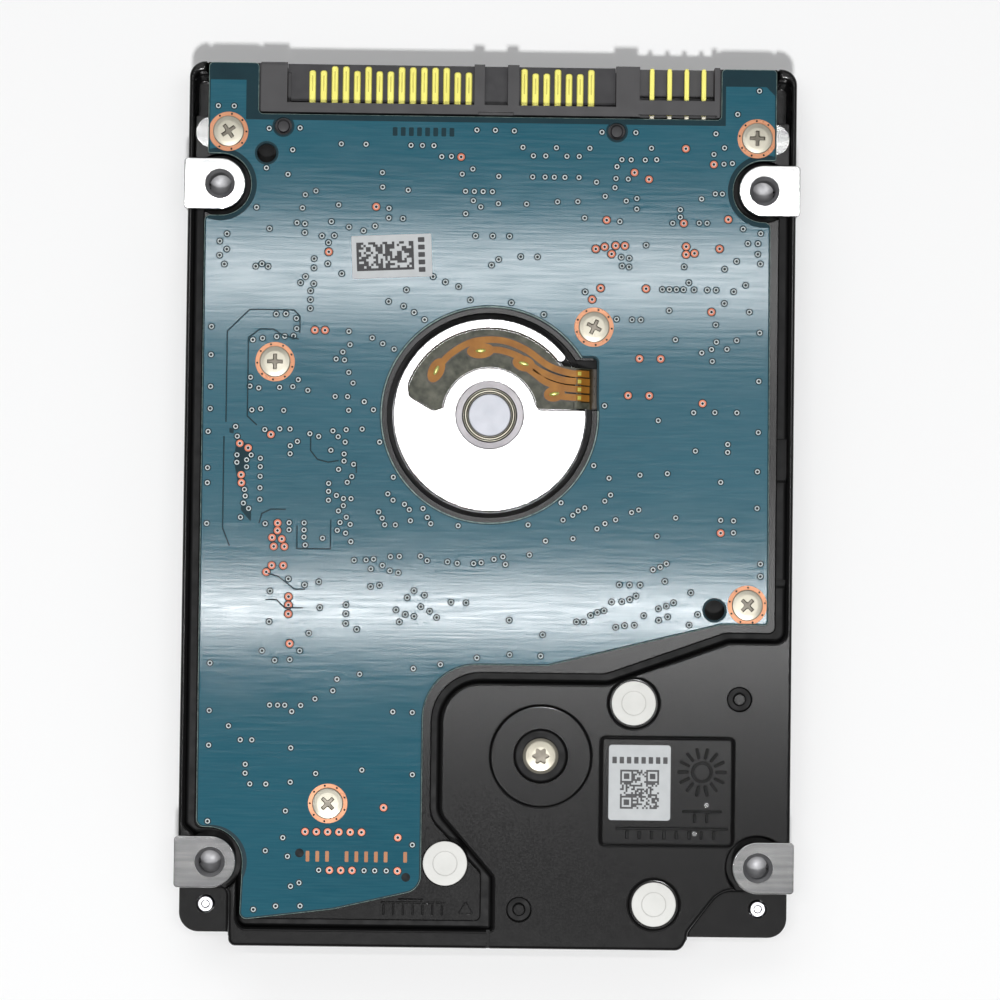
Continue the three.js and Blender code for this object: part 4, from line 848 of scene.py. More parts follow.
# ---- Circuit board ----
VIAS = (
    # Between the connector and the label.
    (-31.2, 44.9), (-29.4, 44.9), (-25.4, 42.4), (-21.9, 42.5), (-22.7, 40), (-25.65, 37.9), (-23.2, 37.2),
    (-17.2, 40.75), (-14.4, 40.75), (-9.3, 40.7), (-8, 40.7), (-6.7, 40.7), (-5.8, 39.45), (-4.7, 39.5),
    (-1.85, 42.55), (0.25, 42.55), (-2.25, 38.1), (-3.45, 37.5), (0.7, 37.3), (-12.5, 37.55), (-12.45, 35.9),
    (-9.55, 35.6), (-3.05, 35.55), (-2.05, 35.55), (-1.05, 35.55), (0, 35.55), (-2.15, 34.5), (-1.3, 33.8),
    (0.7, 34.2), (-3, 33), (-21.2, 34.9), (-20, 35.35), (-21.5, 33.4), (-17.4, 33.8), (-11.7, 33.5),
    (-11.7, 32.4), (-10.1, 32.35), (-26.7, 33.4), (-22.1, 31.7), (-21.2, 31.6), (-21.2, 30.6), (-18.2, 31.9),
    (-16.2, 31.3), (-13.25, 31.45), (-25.2, 31), (-19.25, 30.25), (-17.85, 30.3), (-18.5, 29.5),
    (-14.55, 30.9),
    # Connector end, right.
    (2.4, 42.5), (12.35, 42.5), (16.2, 42.5), (25.3, 42.5), (3.4, 40.65), (7.2, 40.65), (11, 40.65),
    (18, 40.75), (26.3, 40.9), (25.1, 40.15), (4.6, 39.7), (6, 39.7), (8.4, 39.7), (9.8, 39.7), (14.65, 39.4),
    (15.7, 39.4), (17.3, 39.4), (18.6, 39.45), (26.25, 39.05), (27.2, 39.15), (14.1, 38.6), (4.55, 37.3),
    (5.95, 37.3), (7, 37.3), (8.2, 37.3), (9.8, 37.3), (14, 37.25), (15.4, 37.2), (11.8, 36.8), (13.9, 36.2),
    (12.8, 35.2), (15.2, 34.7), (16.4, 35), (7.4, 34.5), (9.7, 34.55), (3.9, 34.2), (16.4, 33.8),
    (23.75, 35.05), (25.3, 35.65), (26.1, 35.65), (21.35, 33.8), (21.35, 32.95), (20.5, 32.25), (23.5, 32.3),
    (24.4, 32.3), (10.5, 32.7), (14.5, 32.35), (28.5, 31.7), (30.5, 31.2), (29.05, 30.05), (30.2, 30.05),
    (30.2, 28.85), (30.5, 27.75), (27.8, 28), (26.45, 27.1), (21.85, 27.3), (0.1, 30.5), (2, 30.5),
    (17.5, 29.7), (14.7, 28.3), (15.6, 28.2), (14.8, 27.3), (15.6, 27.2), (3.3, 28.2), (5.2, 28.2),
    (0.8, 27.85), (0, 27.2), (22.4, 25.5), (28.85, 25.3), (19.4, 24.7), (20.2, 24.7), (21, 24.7),
    (21.8, 24.7),
    (23, 24.7), (24.5, 24.7), (25.5, 24.7), (27.5, 24.55), (10.65, 24.3), (26.45, 23.2), (2.3, 22.95),
    (20.2, 22.3), (29.3, 22.25), (6, 21.65), (14.25, 21.25), (16, 21.2), (17, 21.2), (25.5, 20.75),
    (30.5, 19.9), (27.75, 44.75), (30.2, 47.45),
    # Left of the motor.
    (-1.85, 30.5), (-18.55, 27.1), (-20.1, 27.65), (-20.1, 26.6), (-16.95, 26), (-21.05, 25.6), (-21.6, 24.9),
    (-20.1, 24.8), (-20.45, 24), (-20.45, 23), (-20.45, 22), (-6.6, 25.8), (-5.2, 25.2), (-3.7, 24.7),
    (-2.35, 23.2), (-9.6, 24.25), (-11.6, 22.9), (-9.9, 22.4), (-8.7, 21.7), (-7.5, 20.9), (-30, 30.35),
    (-30.8, 29.5), (-30, 28.6), (-30.8, 27.9), (-30.25, 26.9), (-26.7, 26.7), (-26, 27), (-25.3, 26.7),
    (-24.3, 21.3), (-23.2, 21.35), (-22, 20.85), (-12.2, 18.1), (-10.9, 17.5), (-31.6, 19.8), (-31.6, 16.6),
    (-31.6, 13), (-31.6, 10.5), (-31.8, 7.9), (-31.8, 3.8), (-31.8, 2.1), (-31.8, -2.5), (-21.95, 19.7),
    (-16.05, 19.45), (-26.9, 18.35), (-25.8, 18.55), (-24.2, 18.75), (-23.3, 18.8), (-22.3, 18.85),
    (-13.4, 18.75), (-15.9, 17.95), (-16.7, 17.1), (-17.45, 16.3), (-16.5, 16.2), (-16, 14.8), (-15.5, 13.6),
    (-27.1, 14.1), (-21.7, 13.9), (-27.15, 13.1), (-26.15, 12.9), (-23.8, 13), (-22.3, 13.1), (-20.6, 12.7),
    (-17.5, 12.05), (-16.1, 12.05), (-14.2, 11.5), (-13.15, 10.6), (-15.95, 10.5), (-26.9, 10.4),
    (-25.9, 10.55), (-23.3, 10.4), (-28.7, 8.5), (-25.4, 8.2), (-23.7, 8.3), (-22.55, 8.3), (-20.3, 7.8),
    (-19.3, 7.5), (-17.7, 8.15), (-17.1, 7.5), (-16.2, 8.3), (-14.4, 8.4), (-12.4, 6.95), (-16.3, 6.9),
    (-28.5, 7.4), (-26.9, 5.3), (-28.5, 5.3), (-28.5, 4.45), (-27.4, 4.75), (-27.4, 3.95), (-25.85, 4.95),
    (-25.85, 4), (-25.85, 2.9), (-25.85, 1.6), (-25.85, 0.3), (-21.7, 6.9), (-22.5, 6.4), (-22.5, 5.5),
    (-17.9, 5.95), (-16.4, 5.55), (-16.4, 4.75), (-15.3, 4.4), (-17, 3.8), (-15.5, 3), (-16, 2.35),
    (-18.1, 2.2), (-18.1, 1.3), (-18.1, 0.3), (-17.2, 0.85), (-16.4, 0.5), (-15.55, 0.5), (-16.4, -0.3),
    (-16.95, -0.9), (-27.6, 1.4), (-27.5, 0.65), (-27.7, -0.15), (-27.1, -0.75), (-28, -1.75), (-16.05, -1.6),
    (-16.75, -2.2), (-15.6, -2.4), (-17.05, -3.1), (-16.1, -3.4), (-15.5, -4.35), (-25.2, -2.45),
    (-22.5, -2.3), (-22.5, -3.1), (-20.8, -2.3), (-20.8, -3.1), (-20.8, -3.9), (-20.65, -4.8), (-18.7, -4),
    # Below the motor.
    (-10.8, 3), (-11.4, 1.1), (-10.8, 0.4), (-9.5, -0.05), (-8.95, -0.65), (-7.4, -0.5), (-6.9, -1.5),
    (-6.5, -2.2), (-8.8, -1.9), (-12.4, -0.95), (-12, -1.65), (-11.7, -2.4), (-10.5, -2.4), (-3.4, -2.4),
    (-15.1, -6.45), (-13.75, -6.4), (-12.9, -6.3), (-11, -6), (-10, -5.95), (-7.6, -5.9), (-6.85, -6.4),
    (-4.55, -6.5), (-3.45, -6.65), (-1.6, -6.65), (-0.75, -6.55), (0.7, -6.15), (-11.9, -7), (-13.2, -7.4),
    (-11.05, -7.6), (-10.1, -7.8), (-22.5, -8.65), (-20.65, -9.3), (-19.05, -8.95), (-13.2, -9.4),
    (-12.2, -9.25), (-24.55, -10.05), (-8.3, -9.8), (-7.1, -10.3), (-9.05, -10.6), (-4.1, -11.05),
    (-2.4, -11.1), (-7.5, -11.6), (-15.95, -11.5), (-15.95, -12.5), (-15.95, -13.6), (-10.3, -12),
    (-9.25, -12.5), (-8.25, -12.7), (-6.5, -12.1), (-5.7, -12.8), (-9.9, -13.35), (-24.6, -13.5),
    (-18.9, -11.85), (-14.7, -14.25), (-20.1, -14.75), (4.5, -2.2), (6.5, -4), (9.6, -3.7), (4.7, -5.6),
    (1.7, -5.85), (2, -6.7), (-1.1, -17.3), (2.5, -13), (6.3, -14.6), (2.6, -16.9), (6.1, -17),
    # Right of the motor.
    (20.95, 19), (25.6, 18.8), (27.9, 19), (25.05, 17.95), (26.8, 18), (23.95, 17.55), (25.15, 16.6),
    (30.45, 14.4), (13, 11.4), (23.1, 10.75), (25.5, 10.8), (28, 10.8), (19.1, 9.8), (30.45, 8.6), (27, 7.2),
    (27, 6.3), (23.35, 6.4), (30.4, 4.15), (11.85, 4.6), (13.6, 3.2), (17.1, 3.6), (20.2, 3.8), (26.25, 2.9),
    (13.8, 1.3), (13.15, 0.6), (8.2, 0.35), (10.9, -0.2), (10.15, -0.55), (9.55, -1.05), (8.45, -1.6),
    (30.4, 0), (17, -0.35), (16.2, -0.65), (14.4, -1.5), (13.2, -1.95), (12.3, -2.55), (21.2, -1.2),
    (26.3, -1.4), (27.75, -1.45), (27.75, -2.8), (19.1, -3.3), (18.7, -7.1), (19.5, -6.8), (20.2, -6.4),
    (30.85, -6.3), (20.05, -8.4), (14.9, -8.85), (16.05, -8.85), (17.25, -8.85), (30.85, -7.7), (23, -9.65),
    (16.8, -10.1), (16.1, -10.5), (14.05, -10.8), (15.2, -10.75), (21.05, -10.8), (20.25, -11.2),
    (19.35, -11.5), (13.2, -11.8), (12.45, -12), (11.7, -12.35), (17.7, -12.3), (20.4, -12.4), (19.4, -12.8),
    (23.8, -12.1), (10.1, -13.1), (10.9, -13.1), (16.65, -13.4), (15.55, -13.45), (14.55, -13.65),
    (22.85, -13.3),
    # Far end, beside the actuator.
    (-31.2, -18.25), (-25.35, -16.8), (-23.9, -17.85), (-22.2, -17.75), (-21.1, -16.75), (-24.4, -22.9),
    (-23.5, -22.9), (-22.7, -22.9), (-20.9, -22.9), (-21.9, -23.6), (-19.3, -22.15), (-17.3, -21.2),
    (-16.85, -19.9), (-14.3, -19.3), (-8.25, -18.6), (-5.2, -18.1), (-10.5, -23.5), (-8.3, -23.55),
    (-31.2, -23.6), (-29, -25.3), (-27.65, -26.85), (-26.35, -26.85), (-31.2, -27.5), (-21.95, -27.7),
    (-27.05, -29.6), (-27.05, -30.6), (-26.5, -31.8), (-24.7, -31.8), (-21.95, -31.55), (-19.1, -30.55),
    (-13.9, -30.1), (-8.2, -30.55), (-22.45, -34.8), (-31.2, -36.05), (-22.7, -37.8), (-8.1, -38.45),
    (-24.65, -39.3), (-22.15, -39.9), (-20.8, -42.85), (-21.75, -43.25), (-25.9, -45.9), (-23.4, -45.5),
    (-20.65, -45.45), (-18.6, -41.4), (-13.5, -41.4), (-12.3, -41.4), (-11, -41.4),
)
TEST_POINTS = (
    (21.9, 40.75), (25.1, 39), (16.1, 37.95), (17.75, 37.2), (13, 32.5), (21.75, 32.25), (26.8, 32.75),
    (11.8, 29.2), (12.8, 29.45), (14.05, 29.6), (15.1, 29.6), (13.6, 28.65), (22.05, 29.6), (22.05, 28.7),
    (23, 28.85), (25.85, 29.4), (12.4, 24.75), (11.45, 23.45), (17.55, 24.75), (25, 22.2), (16.9, 16.8),
    (19.3, 16.8), (15.65, 12.6), (18.05, 12.6), (24.1, 11.8), (26.3, -2.85), (-3.6, 39.45), (-13.15, 33.65),
    (-18.45, 28.45), (-19.9, 19.55), (-18.75, 19.55), (-24.7, 7.65), (-28.2, 6.6), (-27.25, 6.1), (-28, 3.05),
    (-27.95, 2.15), (-23.8, -2.35), (-23.8, -3.2), (-24.4, -4), (-23.3, -4.15), (-24.2, -5), (-23, -5),
    (-24.4, -7.15), (-23.1, -7.15), (-22.45, -10.65), (-22.45, -11.6), (-22.45, -12.6), (-22.25, -15.95),
    (-11.4, -34.3), (-9.75, -37.65), (-9.75, -41.4), (-25, -7.9),
)
SPOTS = ((-20.8, -39.5), (-8.8, -42.1))  # unplated holes
TEST_ROWS = ((-37.1, -20.2, 6), (-41.4, -17.4, 3))  # y, first x and count, at the contact pitch
TRACES = (
    ((-29.8, 9), (-29.8, 19.3), (-27.3, 21.8), (-22.3, 21.8), (-21.6, 21.1), (-21.6, 19.2)),
    ((-26.3, 8.7), (-27.4, 9.7), (-27.4, 18.6), (-26.1, 19.6), (-24.6, 19.6), (-23.5, 18.9), (-21.7, 18.5)),
    ((-30, 7.4), (-30, -3), (-29.2, -5)),
    ((-21.6, -2.6), (-21.6, -5.2), (-17.8, -5.2), (-17.8, -1.9)),
    ((-20.2, 7.4), (-20.2, 5.9), (-19.4, 4.9), (-18.2, 4.6), (-17, 4.8)),
    ((-15, 4.6), (-15, 3.4)),
    ((-25.9, -2.4), (-25.6, -1.3), (-24.6, -0.8), (-22.9, -0.8)),
    ((-25, -8), (-23.6, -8.4), (-21.8, -9.8), (-20.6, -9.8)),
    ((-25, -11), (-23.8, -11), (-22.9, -11.9), (-20.8, -11.9)),
)
BARE_PATCHES = (
    [(-27.4, 6.6, 0.2), (-28.6, 7.2, 0.2), (-28.8, 4.5, 0.2), (-28.4, 2.2, 0.2), (-27.6, 2, 0.2),
     (-27.6, 4, 0.2), (-26.8, 5.8, 0.2)],
    [(-26.8, -1, 0.1), (-27.9, 0.1, 0.2), (-28, -0.9, 0.2), (-26.8, -2.3, 0.1)],
    [(-28.9, 8.2, 0.1), (-29.4, 8.4, 0.1), (-29.4, 7.8, 0.1), (-28.9, 7.7, 0.1)],
)


def ribbon_corners(path, width):
    """Corners of a flat line of even width along a path, turning sharply at its points."""
    half = width / 2
    left, right = [], []
    for i, (x, y) in enumerate(path):
        first = unit(x - path[i - 1][0], y - path[i - 1][1]) if i else None
        last = unit(path[i + 1][0] - x, path[i + 1][1] - y) if i + 1 < len(path) else first
        first = first or last
        nx, ny = unit(-(first[1] + last[1]), first[0] + last[0])
        reach = half / (nx * -first[1] + ny * first[0])
        left.append((x + nx * reach, y + ny * reach, 0))
        right.append((x - nx * reach, y - ny * reach, 0))
    return right + left[::-1]


def board_openings(spare=0.0):
    """Cutters for the motor, the flex outlet, the screws and the pegs."""
    tools = [cylinder(*SPINDLE, MOTOR_OPENING + spare, UNDER_BOARD, OVER, 144)]
    outlet = grown(rectangle(6, 10.8, MOTOR_OPENING - 0.1, 16.8, 0.5), spare)
    tools.append(loft("cutter", outlet, [(0, UNDER_BOARD), (0, OVER)]))
    tools += [cylinder(*middle(node), 1.1 + spare, UNDER_BOARD, OVER, 32) for node in BOARD_SCREWS]
    tools += [cylinder(x, y, radius + spare, UNDER_BOARD, OVER, 40) for x, y, radius in PEG_HOLES]
    return tools


def board_sheet():
    sheet = plate("circuit_board", BOARD_OUTLINE, LEDGE, BOARD_TOP, 0.12)
    cut(sheet, *board_openings())
    two_tone(sheet, BOARD_EDGE, LAMINATE, lambda face: 0.15 < face.normal.z < 0.97)
    shown(sheet, BOARD_EDGE, ["circuit_board"])


def opening_lip():
    """The pale rim of bare laminate round the motor opening, left out at the flex outlet."""
    near, far = MOTOR_OPENING + 0.02, MOTOR_OPENING + 0.13
    low = BOARD_TOP - 0.1
    rim = [(near, low, 0), (far, low, 0), (far, BOARD_TOP + 0.01, 0), (near, BOARD_TOP + 0.005, 0)]
    lip = turned("motor_opening_lip", rim, SPINDLE, 144)
    cut(lip, loft("cutter", rectangle(6, 10.8, 14, 16.8), [(0, UNDER_BOARD), (0, OVER)]))
    shown(lip, LAMINATE)


def mask_cutter(corners):
    return loft("cutter", corners, [(0, UNDER_MASK), (0, OVER)])


def solder_mask():
    """The teal layer on the board, kept back from its edges, openings, pads and connector."""
    mask = plate("solder_mask_layer", grown(BOARD_OUTLINE, -MASK_INSET), BOARD_TOP - 0.05, MASK_TOP, 0.015)
    kept_back = (
        (-28.05, 43.4, -20, 51), (20, 43.4, 26.4, 51), (-34, 47.9, -20, 51), (20, 47.9, 34, 51),
        (-22, 43.4, 22, 51),
    )
    cut(
        mask,
        *board_openings(0.25),
        *[cylinder(side * PAD_X, y, 4.15, UNDER_MASK, OVER) for side, y in pad_sites()],
        *[mask_cutter(rectangle(*sides)) for sides in kept_back],
        mask_cutter([(32, 46.9, 0), (32, 48, 0), (30.9, 48, 0)]),
        *[mask_cutter(patch) for patch in BARE_PATCHES],
    )
    shown(mask, BOARD)


def on_mask(name, outlines, height, finish, edge=0.01):
    """Thin flat pieces on the board's face, as one object."""
    made = [plate("piece", outline, MASK_TOP - 0.01, MASK_TOP + height, edge) for outline in outlines]
    shown(merged(name, made), finish)


def circuit_board():
    board_sheet()
    opening_lip()
    solder_mask()
    on_mask("board_traces", [ribbon_corners(path, 0.16) for path in TRACES], 0.025, BOARD_EDGE)


def board_bars():
    """Rows of plain bars, where the board carries printed and embossed characters."""
    printed = [rectangle(-20.1 + 1.1 * k, -40.45, -19.68 + 1.1 * k, -39.25, 0.1)
               for k in range(11) if k not in (3, 9)]
    on_mask("printed_bars", printed, 0.02, PRINT)
    embossed = [rectangle(-11.4 + 0.92 * k, 41.75, -10.85 + 0.92 * k, 42.75, 0.12) for k in range(8)]
    on_mask("embossed_bars", embossed, 0.006, BOARD_EDGE)


def flat_ring(place, inner, outer, thickness, steps):
    """A flat ring on the board's face, or a disc if it has no inner radius."""
    base = MASK_TOP - 0.01
    top = MASK_TOP + thickness
    if inner:
        profile = [(inner, base, 0), (outer, base, 0), (outer - 0.03, top, 0), (inner + 0.02, top, 0)]
    else:
        profile = [(0, base, 0), (outer, base, 0), (outer, top, 0), (0, top, 0)]
    return turned("ring", profile, place, steps)


def board_points():
    """Vias and test points, each a ring round a dark disc of painted shade for its hole, within a painted
    shadow, and the copper lands of the screws.
    """
    points = list(TEST_POINTS)
    for y, x, count in TEST_ROWS:
        points += [(x + CONTACT_PITCH * k, y) for k in range(count)]
    # Painted shadow: a flat dark-teal disc round each via and test point.
    via_shadows = [flat_ring(p, 0, 0.42, 0.002, 16) for p in VIAS]
    via_shadows += [flat_ring(p, 0, 0.54, 0.002, 24) for p in points]
    shown(merged("board_via_painted_shadows", via_shadows), BOARD_EDGE)
    shown(merged("board_vias", [flat_ring(p, 0.1, 0.29, 0.018, 16) for p in VIAS]), VIA)
    shown(merged("test_point_pads", [flat_ring(p, 0.2, 0.43, 0.02, 24) for p in points]), TEST_PAD)
    shown(merged("test_point_lands", [flat_ring(p, 0.1, 0.25, 0.026, 20) for p in points]), VIA)
    # Painted shade: flat dark discs stand in for the holes of the vias and test points, the unplated spots
    # and the small vias in the screw lands.
    holes = [flat_ring(p, 0, 0.165, 0.021, 12) for p in VIAS]
    holes += [flat_ring(p, 0, 0.16, 0.03, 12) for p in points]
    holes += [flat_ring(p, 0, 0.5, 0.004, 24) for p in SPOTS]
    rings = []
    for i, node in enumerate(BOARD_SCREWS):
        x, y = middle(node)
        rings.append(flat_ring((x, y), 1.15, 2.25, 0.022, 64))
        for k in range(9):
            angle = 2 * math.pi * (k + 0.3 * i) / 9
            place = (x + 2.02 * math.cos(angle), y + 2.02 * math.sin(angle))
            if abs(place[0]) < 31.5:
                holes.append(flat_ring(place, 0, 0.12, 0.026, 12))
    board = loft("cutter", BOARD_OUTLINE, [(-MASK_INSET, UNDER_MASK), (-MASK_INSET, OVER)])
    lands = combined(merged("screw_lands", rings), [board], "INTERSECT")
    shown(lands, COPPER_RING)
    shown(merged("board_hole_painted_shade", holes), HOLE_PAINTED_SHADE)


def cross_cutter(low, high):
    """A tapered cross recess, for a Phillips driver."""
    w, r = 0.24, 0.9
    corners = [
        (r, -w, 0.08), (r, w, 0.08), (w, w, 0.12), (w, r, 0.08), (-w, r, 0.08), (-w, w, 0.12),
        (-r, w, 0.08), (-r, -w, 0.08), (-w, -w, 0.12), (-w, -r, 0.08), (w, -r, 0.08), (w, -w, 0.12),
    ]
    return loft("cutter", corners, [(-0.1, low), (-0.02, high - 0.2), (0.03, high)])


def in_recess(top):
    """A test for the faces of a driver recess in a screw that stands on the origin, which take painted shade.
    """
    return lambda face: math.hypot(face.center.x, face.center.y) < MM and face.center.z < top * MM


def board_screws():
    base = MASK_TOP
    head = BOARD_SCREW_RADIUS
    for i, (node, turn) in enumerate(zip(BOARD_SCREWS, BOARD_SCREW_TURNS)):
        screw = turned(f"screw_{i + 1}", [
            (0, 6.7, 0), (0.8, 6.7, 0.1), (0.8, base, 0), (head, base, 0.05), (head, base + 0.32, 0.14),
            (1.2, base + 0.39, 0.5), (0, base + 0.42, 0),
        ], steps=64)
        cut(screw, cross_cutter(base + 0.06, base + 0.6))
        # Painted shade in the cross recess.
        two_tone(screw, NICKEL, RECESS_PAINTED_SHADE, in_recess(base + 0.38))
        shown(placed(screw, middle(node), turn), NICKEL, [node])


# ---- Edge connector ----
def housing_cuts():
    """Opposite corners, x, y and z, of the blocks cut out of the connector's housing."""
    tongue = TONGUE_TOP
    return [
        # Above the tongue: the row of power contacts, the gap in the housing and the row of signal contacts.
        (-23.4, 45.4, tongue, -2.2, 51, OVER),
        (-1, 45.4, tongue, 1.6, 51, OVER),
        (2.9, 45.4, tongue, 13.9, 51, OVER),
        # Below the tongue, where the plug goes in.
        (-24.4, 45.6, 4.2, 14.9, 51, 6.2),
        # Grooves along the inner edge and the left end of each row, and in the jumper block.
        (-23.4, 45.4, 7, -2.2, 45.75, OVER),
        (-23.4, 45.4, 7, -23.05, 49, OVER),
        (2.9, 45.4, 7, 13.9, 45.75, OVER),
        (2.9, 45.4, 7, 3.2, 49, OVER),
        (16.6, 46.2, 6.4, 25.1, 46.9, OVER),
        # Past each end of the tongue.
        (-24.4, 45.6, 5.2, -23.4, 51, 8.3),
        (13.9, 45.6, 5.2, 14.9, 51, 8.3),
        # The jumper block.
        (16.6, 46.2, 7, 25.1, 51, OVER),
        # Tunnels for the contacts' tails.
        (-21.4, 44.2, tongue, -1.9, 45.5, tongue + 0.35),
        (2.7, 44.2, tongue, 12.2, 45.5, tongue + 0.35),
        (16.7, 44.0, 8.1, 25.3, 46.3, 8.75),
        # Low steps along the outer and inner edges.
        (-27, 49.7, 8.9, -2.4, 51, OVER),
        (16.5, 44.0, 8.7, 25.4, 44.55, OVER),
        (-1.7, 44.0, 8.7, 2.3, 44.6, OVER),
    ]


def softened(obj, width, segments=2):
    """Merges the object's coplanar faces and rounds its sharp edges."""
    made = bmesh.new()
    made.from_mesh(obj.data)
    bmesh.ops.dissolve_limit(made, angle_limit=math.radians(2), verts=made.verts, edges=made.edges)
    made.to_mesh(obj.data)
    made.free()
    bevel = obj.modifiers.new("edges", "BEVEL")
    bevel.width = width * MM
    bevel.segments = segments
    bevel.limit_method = "ANGLE"
    bevel.angle_limit = math.radians(50)
    return baked(obj)


def in_housing_shade(face):
    """True for the faces that take painted shade: the floors of the contact recesses and the ears under the
    pegs.
    """
    on_floor = 7.55 < face.center.z / MM < 8.1 and face.normal.z > 0.8
    return on_floor or face.center.y / MM < 43.9


def connector():
    """The housing, with a peg on each of its two ears that stand in holes of the board."""
    x0, y0, z0, x1, y1, z1 = -26.4, 44.3, 3.6, 25.7, 50, 9.2
    pegs = [(x, y) for x, y, _ in PEG_HOLES[2:]]
    body = block("connector_body", x0, y0, z0, x1, y1, z1)
    foot = block("foot", x0 - 0.55, y0, z0, x1 + 0.55, y1, 8)
    ears = [block("ear", x - 1.5, 41.7, 7, x + 1.5, 44.6, 8.15) for x, _ in pegs]
    joined(body, foot, *ears)
    cut(body, *[block("cutter", *corners) for corners in housing_cuts()])
    peg = [(0, 7.2, 0), (0.68, 7.2, 0), (0.68, 8.9, 0.12), (0, 8.95, 0)]
    joined(body, *[turned("peg", peg, place, 40) for place in pegs])
    softened(body, 0.07)
    two_tone(body, HOUSING, HOUSING_PAINTED_SHADE, in_housing_shade)
    shown(body, HOUSING, ["connector_housing"])


LONG_TIP, SHORT_TIP = 49.8, 49.3


def contact_row(name, node, count, long_ones):
    """A row of contacts on the tongue, each with a streak where it has been wiped."""
    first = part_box(node)[0].x / MM + CONTACT_WIDTH / 2
    top = TONGUE_TOP
    half, half_streak = CONTACT_WIDTH / 2, 0.07
    blades, streaks = [], []
    for i in range(count):
        x = first + i * CONTACT_PITCH
        tip = LONG_TIP if i in long_ones else SHORT_TIP
        blade = rectangle(x - half, 44.8, x + half, tip, 0.3)
        blades.append(plate("blade", blade, top - 0.1, top + 0.14, 0.11))
        streak = rectangle(x - half_streak, 46.9, x + half_streak, tip - 0.6, 0.05)
        streaks.append(plate("streak", streak, top + 0.1, top + 0.144, 0.01))
    carrier = rectangle(first, 44.75, first + (count - 1) * CONTACT_PITCH, 45.2)
    blades.append(plate("carrier", carrier, top, top + 0.1))
    shown(merged(name, blades), GOLD, [node])
    shown(merged(f"{name}_wear", streaks), WIPED)


def jumper_pins():
    pins, tails = [], []
    for x in (18, 20, 21.95, 23.9):
        corners = [
            (x + 0.28, 44.4, 0.03), (x + 0.28, 49.5, 0.15), (x + 0.21, 49.9, 0.15), (x - 0.21, 49.9, 0.15),
            (x - 0.28, 49.5, 0.15), (x - 0.28, 44.4, 0.03),
        ]
        pins.append(plate("pin", corners, 8.17, 8.67, 0.07, 0.07))
        tails.append(plate("tail", rectangle(x - 0.28, 44.12, x + 0.28, 44.5, 0.1), 8.3, 8.9, 0.08))
    shown(merged("jumper_block_pins", pins), GOLD, ["jumper_pins"])
    shown(merged("jumper_block_tails", tails), NICKEL)


# ---- Labels and seals ----
def cells(name, places, size, base, thickness=0.012):
    """Printed cells as thin square tiles."""
    vertices, faces = [], []
    half = size / 2
    for x, y in places:
        n = len(vertices)
        for z in (base - 0.005, base + thickness):
            vertices += [(x + i * half, y + j * half, z) for i, j in ((-1, -1), (1, -1), (1, 1), (-1, 1))]
        faces += [(n + 3, n + 2, n + 1, n), (n + 4, n + 5, n + 6, n + 7)]
        faces += [(n + i, n + (i + 1) % 4, n + 4 + (i + 1) % 4, n + 4 + i) for i in range(4)]
    return mesh_object(name, vertices, faces)


def board_label():
    """The label on the board: a block code and a row of plain bars, slightly askew."""
    draw = random.Random(7)
    x, y = middle("board_label")
    base = MASK_TOP
    sheet = plate("label_sheet", rectangle(-4.52, -2.42, 4.52, 2.42, 0.12), base - 0.01, base + 0.09, 0.03)
    pitch = 0.27
    places = []
    for column in range(24):
        for row in range(12):
            border = column in (0, 23) or row == 0
            if border or draw.random() < 0.48:
                places.append((-4 + pitch * column + 0.14, -1.45 + pitch * row))
    code = cells("label_code", places, pitch * 1.02, base + 0.09)
    bars = [rectangle(3.0, -1.9 + 0.85 * k, 3.75, -1.35 + 0.85 * k, 0.08) for k in range(5)]
    printed = [plate("bar", corners, base + 0.085, base + 0.102) for corners in bars]
    turn = Matrix.Translation(Vector((x, y, 0)) * MM) @ Matrix.Rotation(math.radians(2.7), 4, "Z")
    ink = merged("board_label_print", [code, *printed])
    for obj in (sheet, ink):
        obj.data.transform(turn)
    shown(sheet, PAPER, ["board_label"])
    shown(ink, INK)


def base_label():
    """The label on the casting: a square code with three locator squares, under a row of plain bars."""
    draw = random.Random(11)
    low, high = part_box("base_label")
    x0, y0, x1, y1 = low.x / MM, low.y / MM, high.x / MM, high.y / MM
    top = high.z / MM
    sheet = plate("base_label_sheet", rectangle(x0, y0, x1, y1, 0.35), LABEL_FLOOR, top, 0.03)
    shown(sheet, PAPER, ["base_label"])
    pitch = 4.4 / 21
    left, bottom = x0 + 1.3, y0 + 1.3
    places = []
    for column in range(21):
        for row in range(21):
            corner = next(((c, r) for c, r in ((0, 0), (0, 14), (14, 14))
                           if c <= column < c + 7 and r <= row < r + 7), None)
            if corner:
                ring = max(abs(column - corner[0] - 3), abs(row - corner[1] - 3))
                dark = ring in (0, 1, 3)
            else:
                dark = draw.random() < 0.5
            if dark:
                places.append((left + pitch * (column + 0.5), bottom + pitch * (row + 0.5)))
    code = cells("code", places, pitch * 1.02, top)
    bars = [rectangle(left - 0.9 + 0.82 * k, y1 - 2.1, left - 0.4 + 0.82 * k, y1 - 1.35, 0.06)
            for k in range(8)]
    printed = [plate("bar", corners, top - 0.005, top + 0.012) for corners in bars]
    shown(merged("base_label_print", [code, *printed]), INK)


def seals():
    for i in range(3):
        node = f"seal_disc_{i + 1}"
        low = SEAL_SEAT
        disc = turned(f"round_seal_{i + 1}", [
            (0, low, 0), (2.5, low, 0), (2.5, low + 0.16, 0.07), (1.42, low + 0.17, 0.05),
            (1.3, low + 0.1, 0.05), (0, low + 0.1, 0),
        ], middle(node), 96)
        shown(disc, SEAL, [node], sharp=60)


# ---- Pivot screw and spindle motor ----
def star_cutter(radius, lobe, low, high):
    """A six-lobed driver recess at the origin."""
    star = []
    for k in range(72):
        angle = 2 * math.pi * k / 72
        away = radius + lobe * math.cos(6 * angle)
        star.append((away * math.cos(angle), away * math.sin(angle), 0))
    return loft("cutter", star, [(0, low), (0, high)])


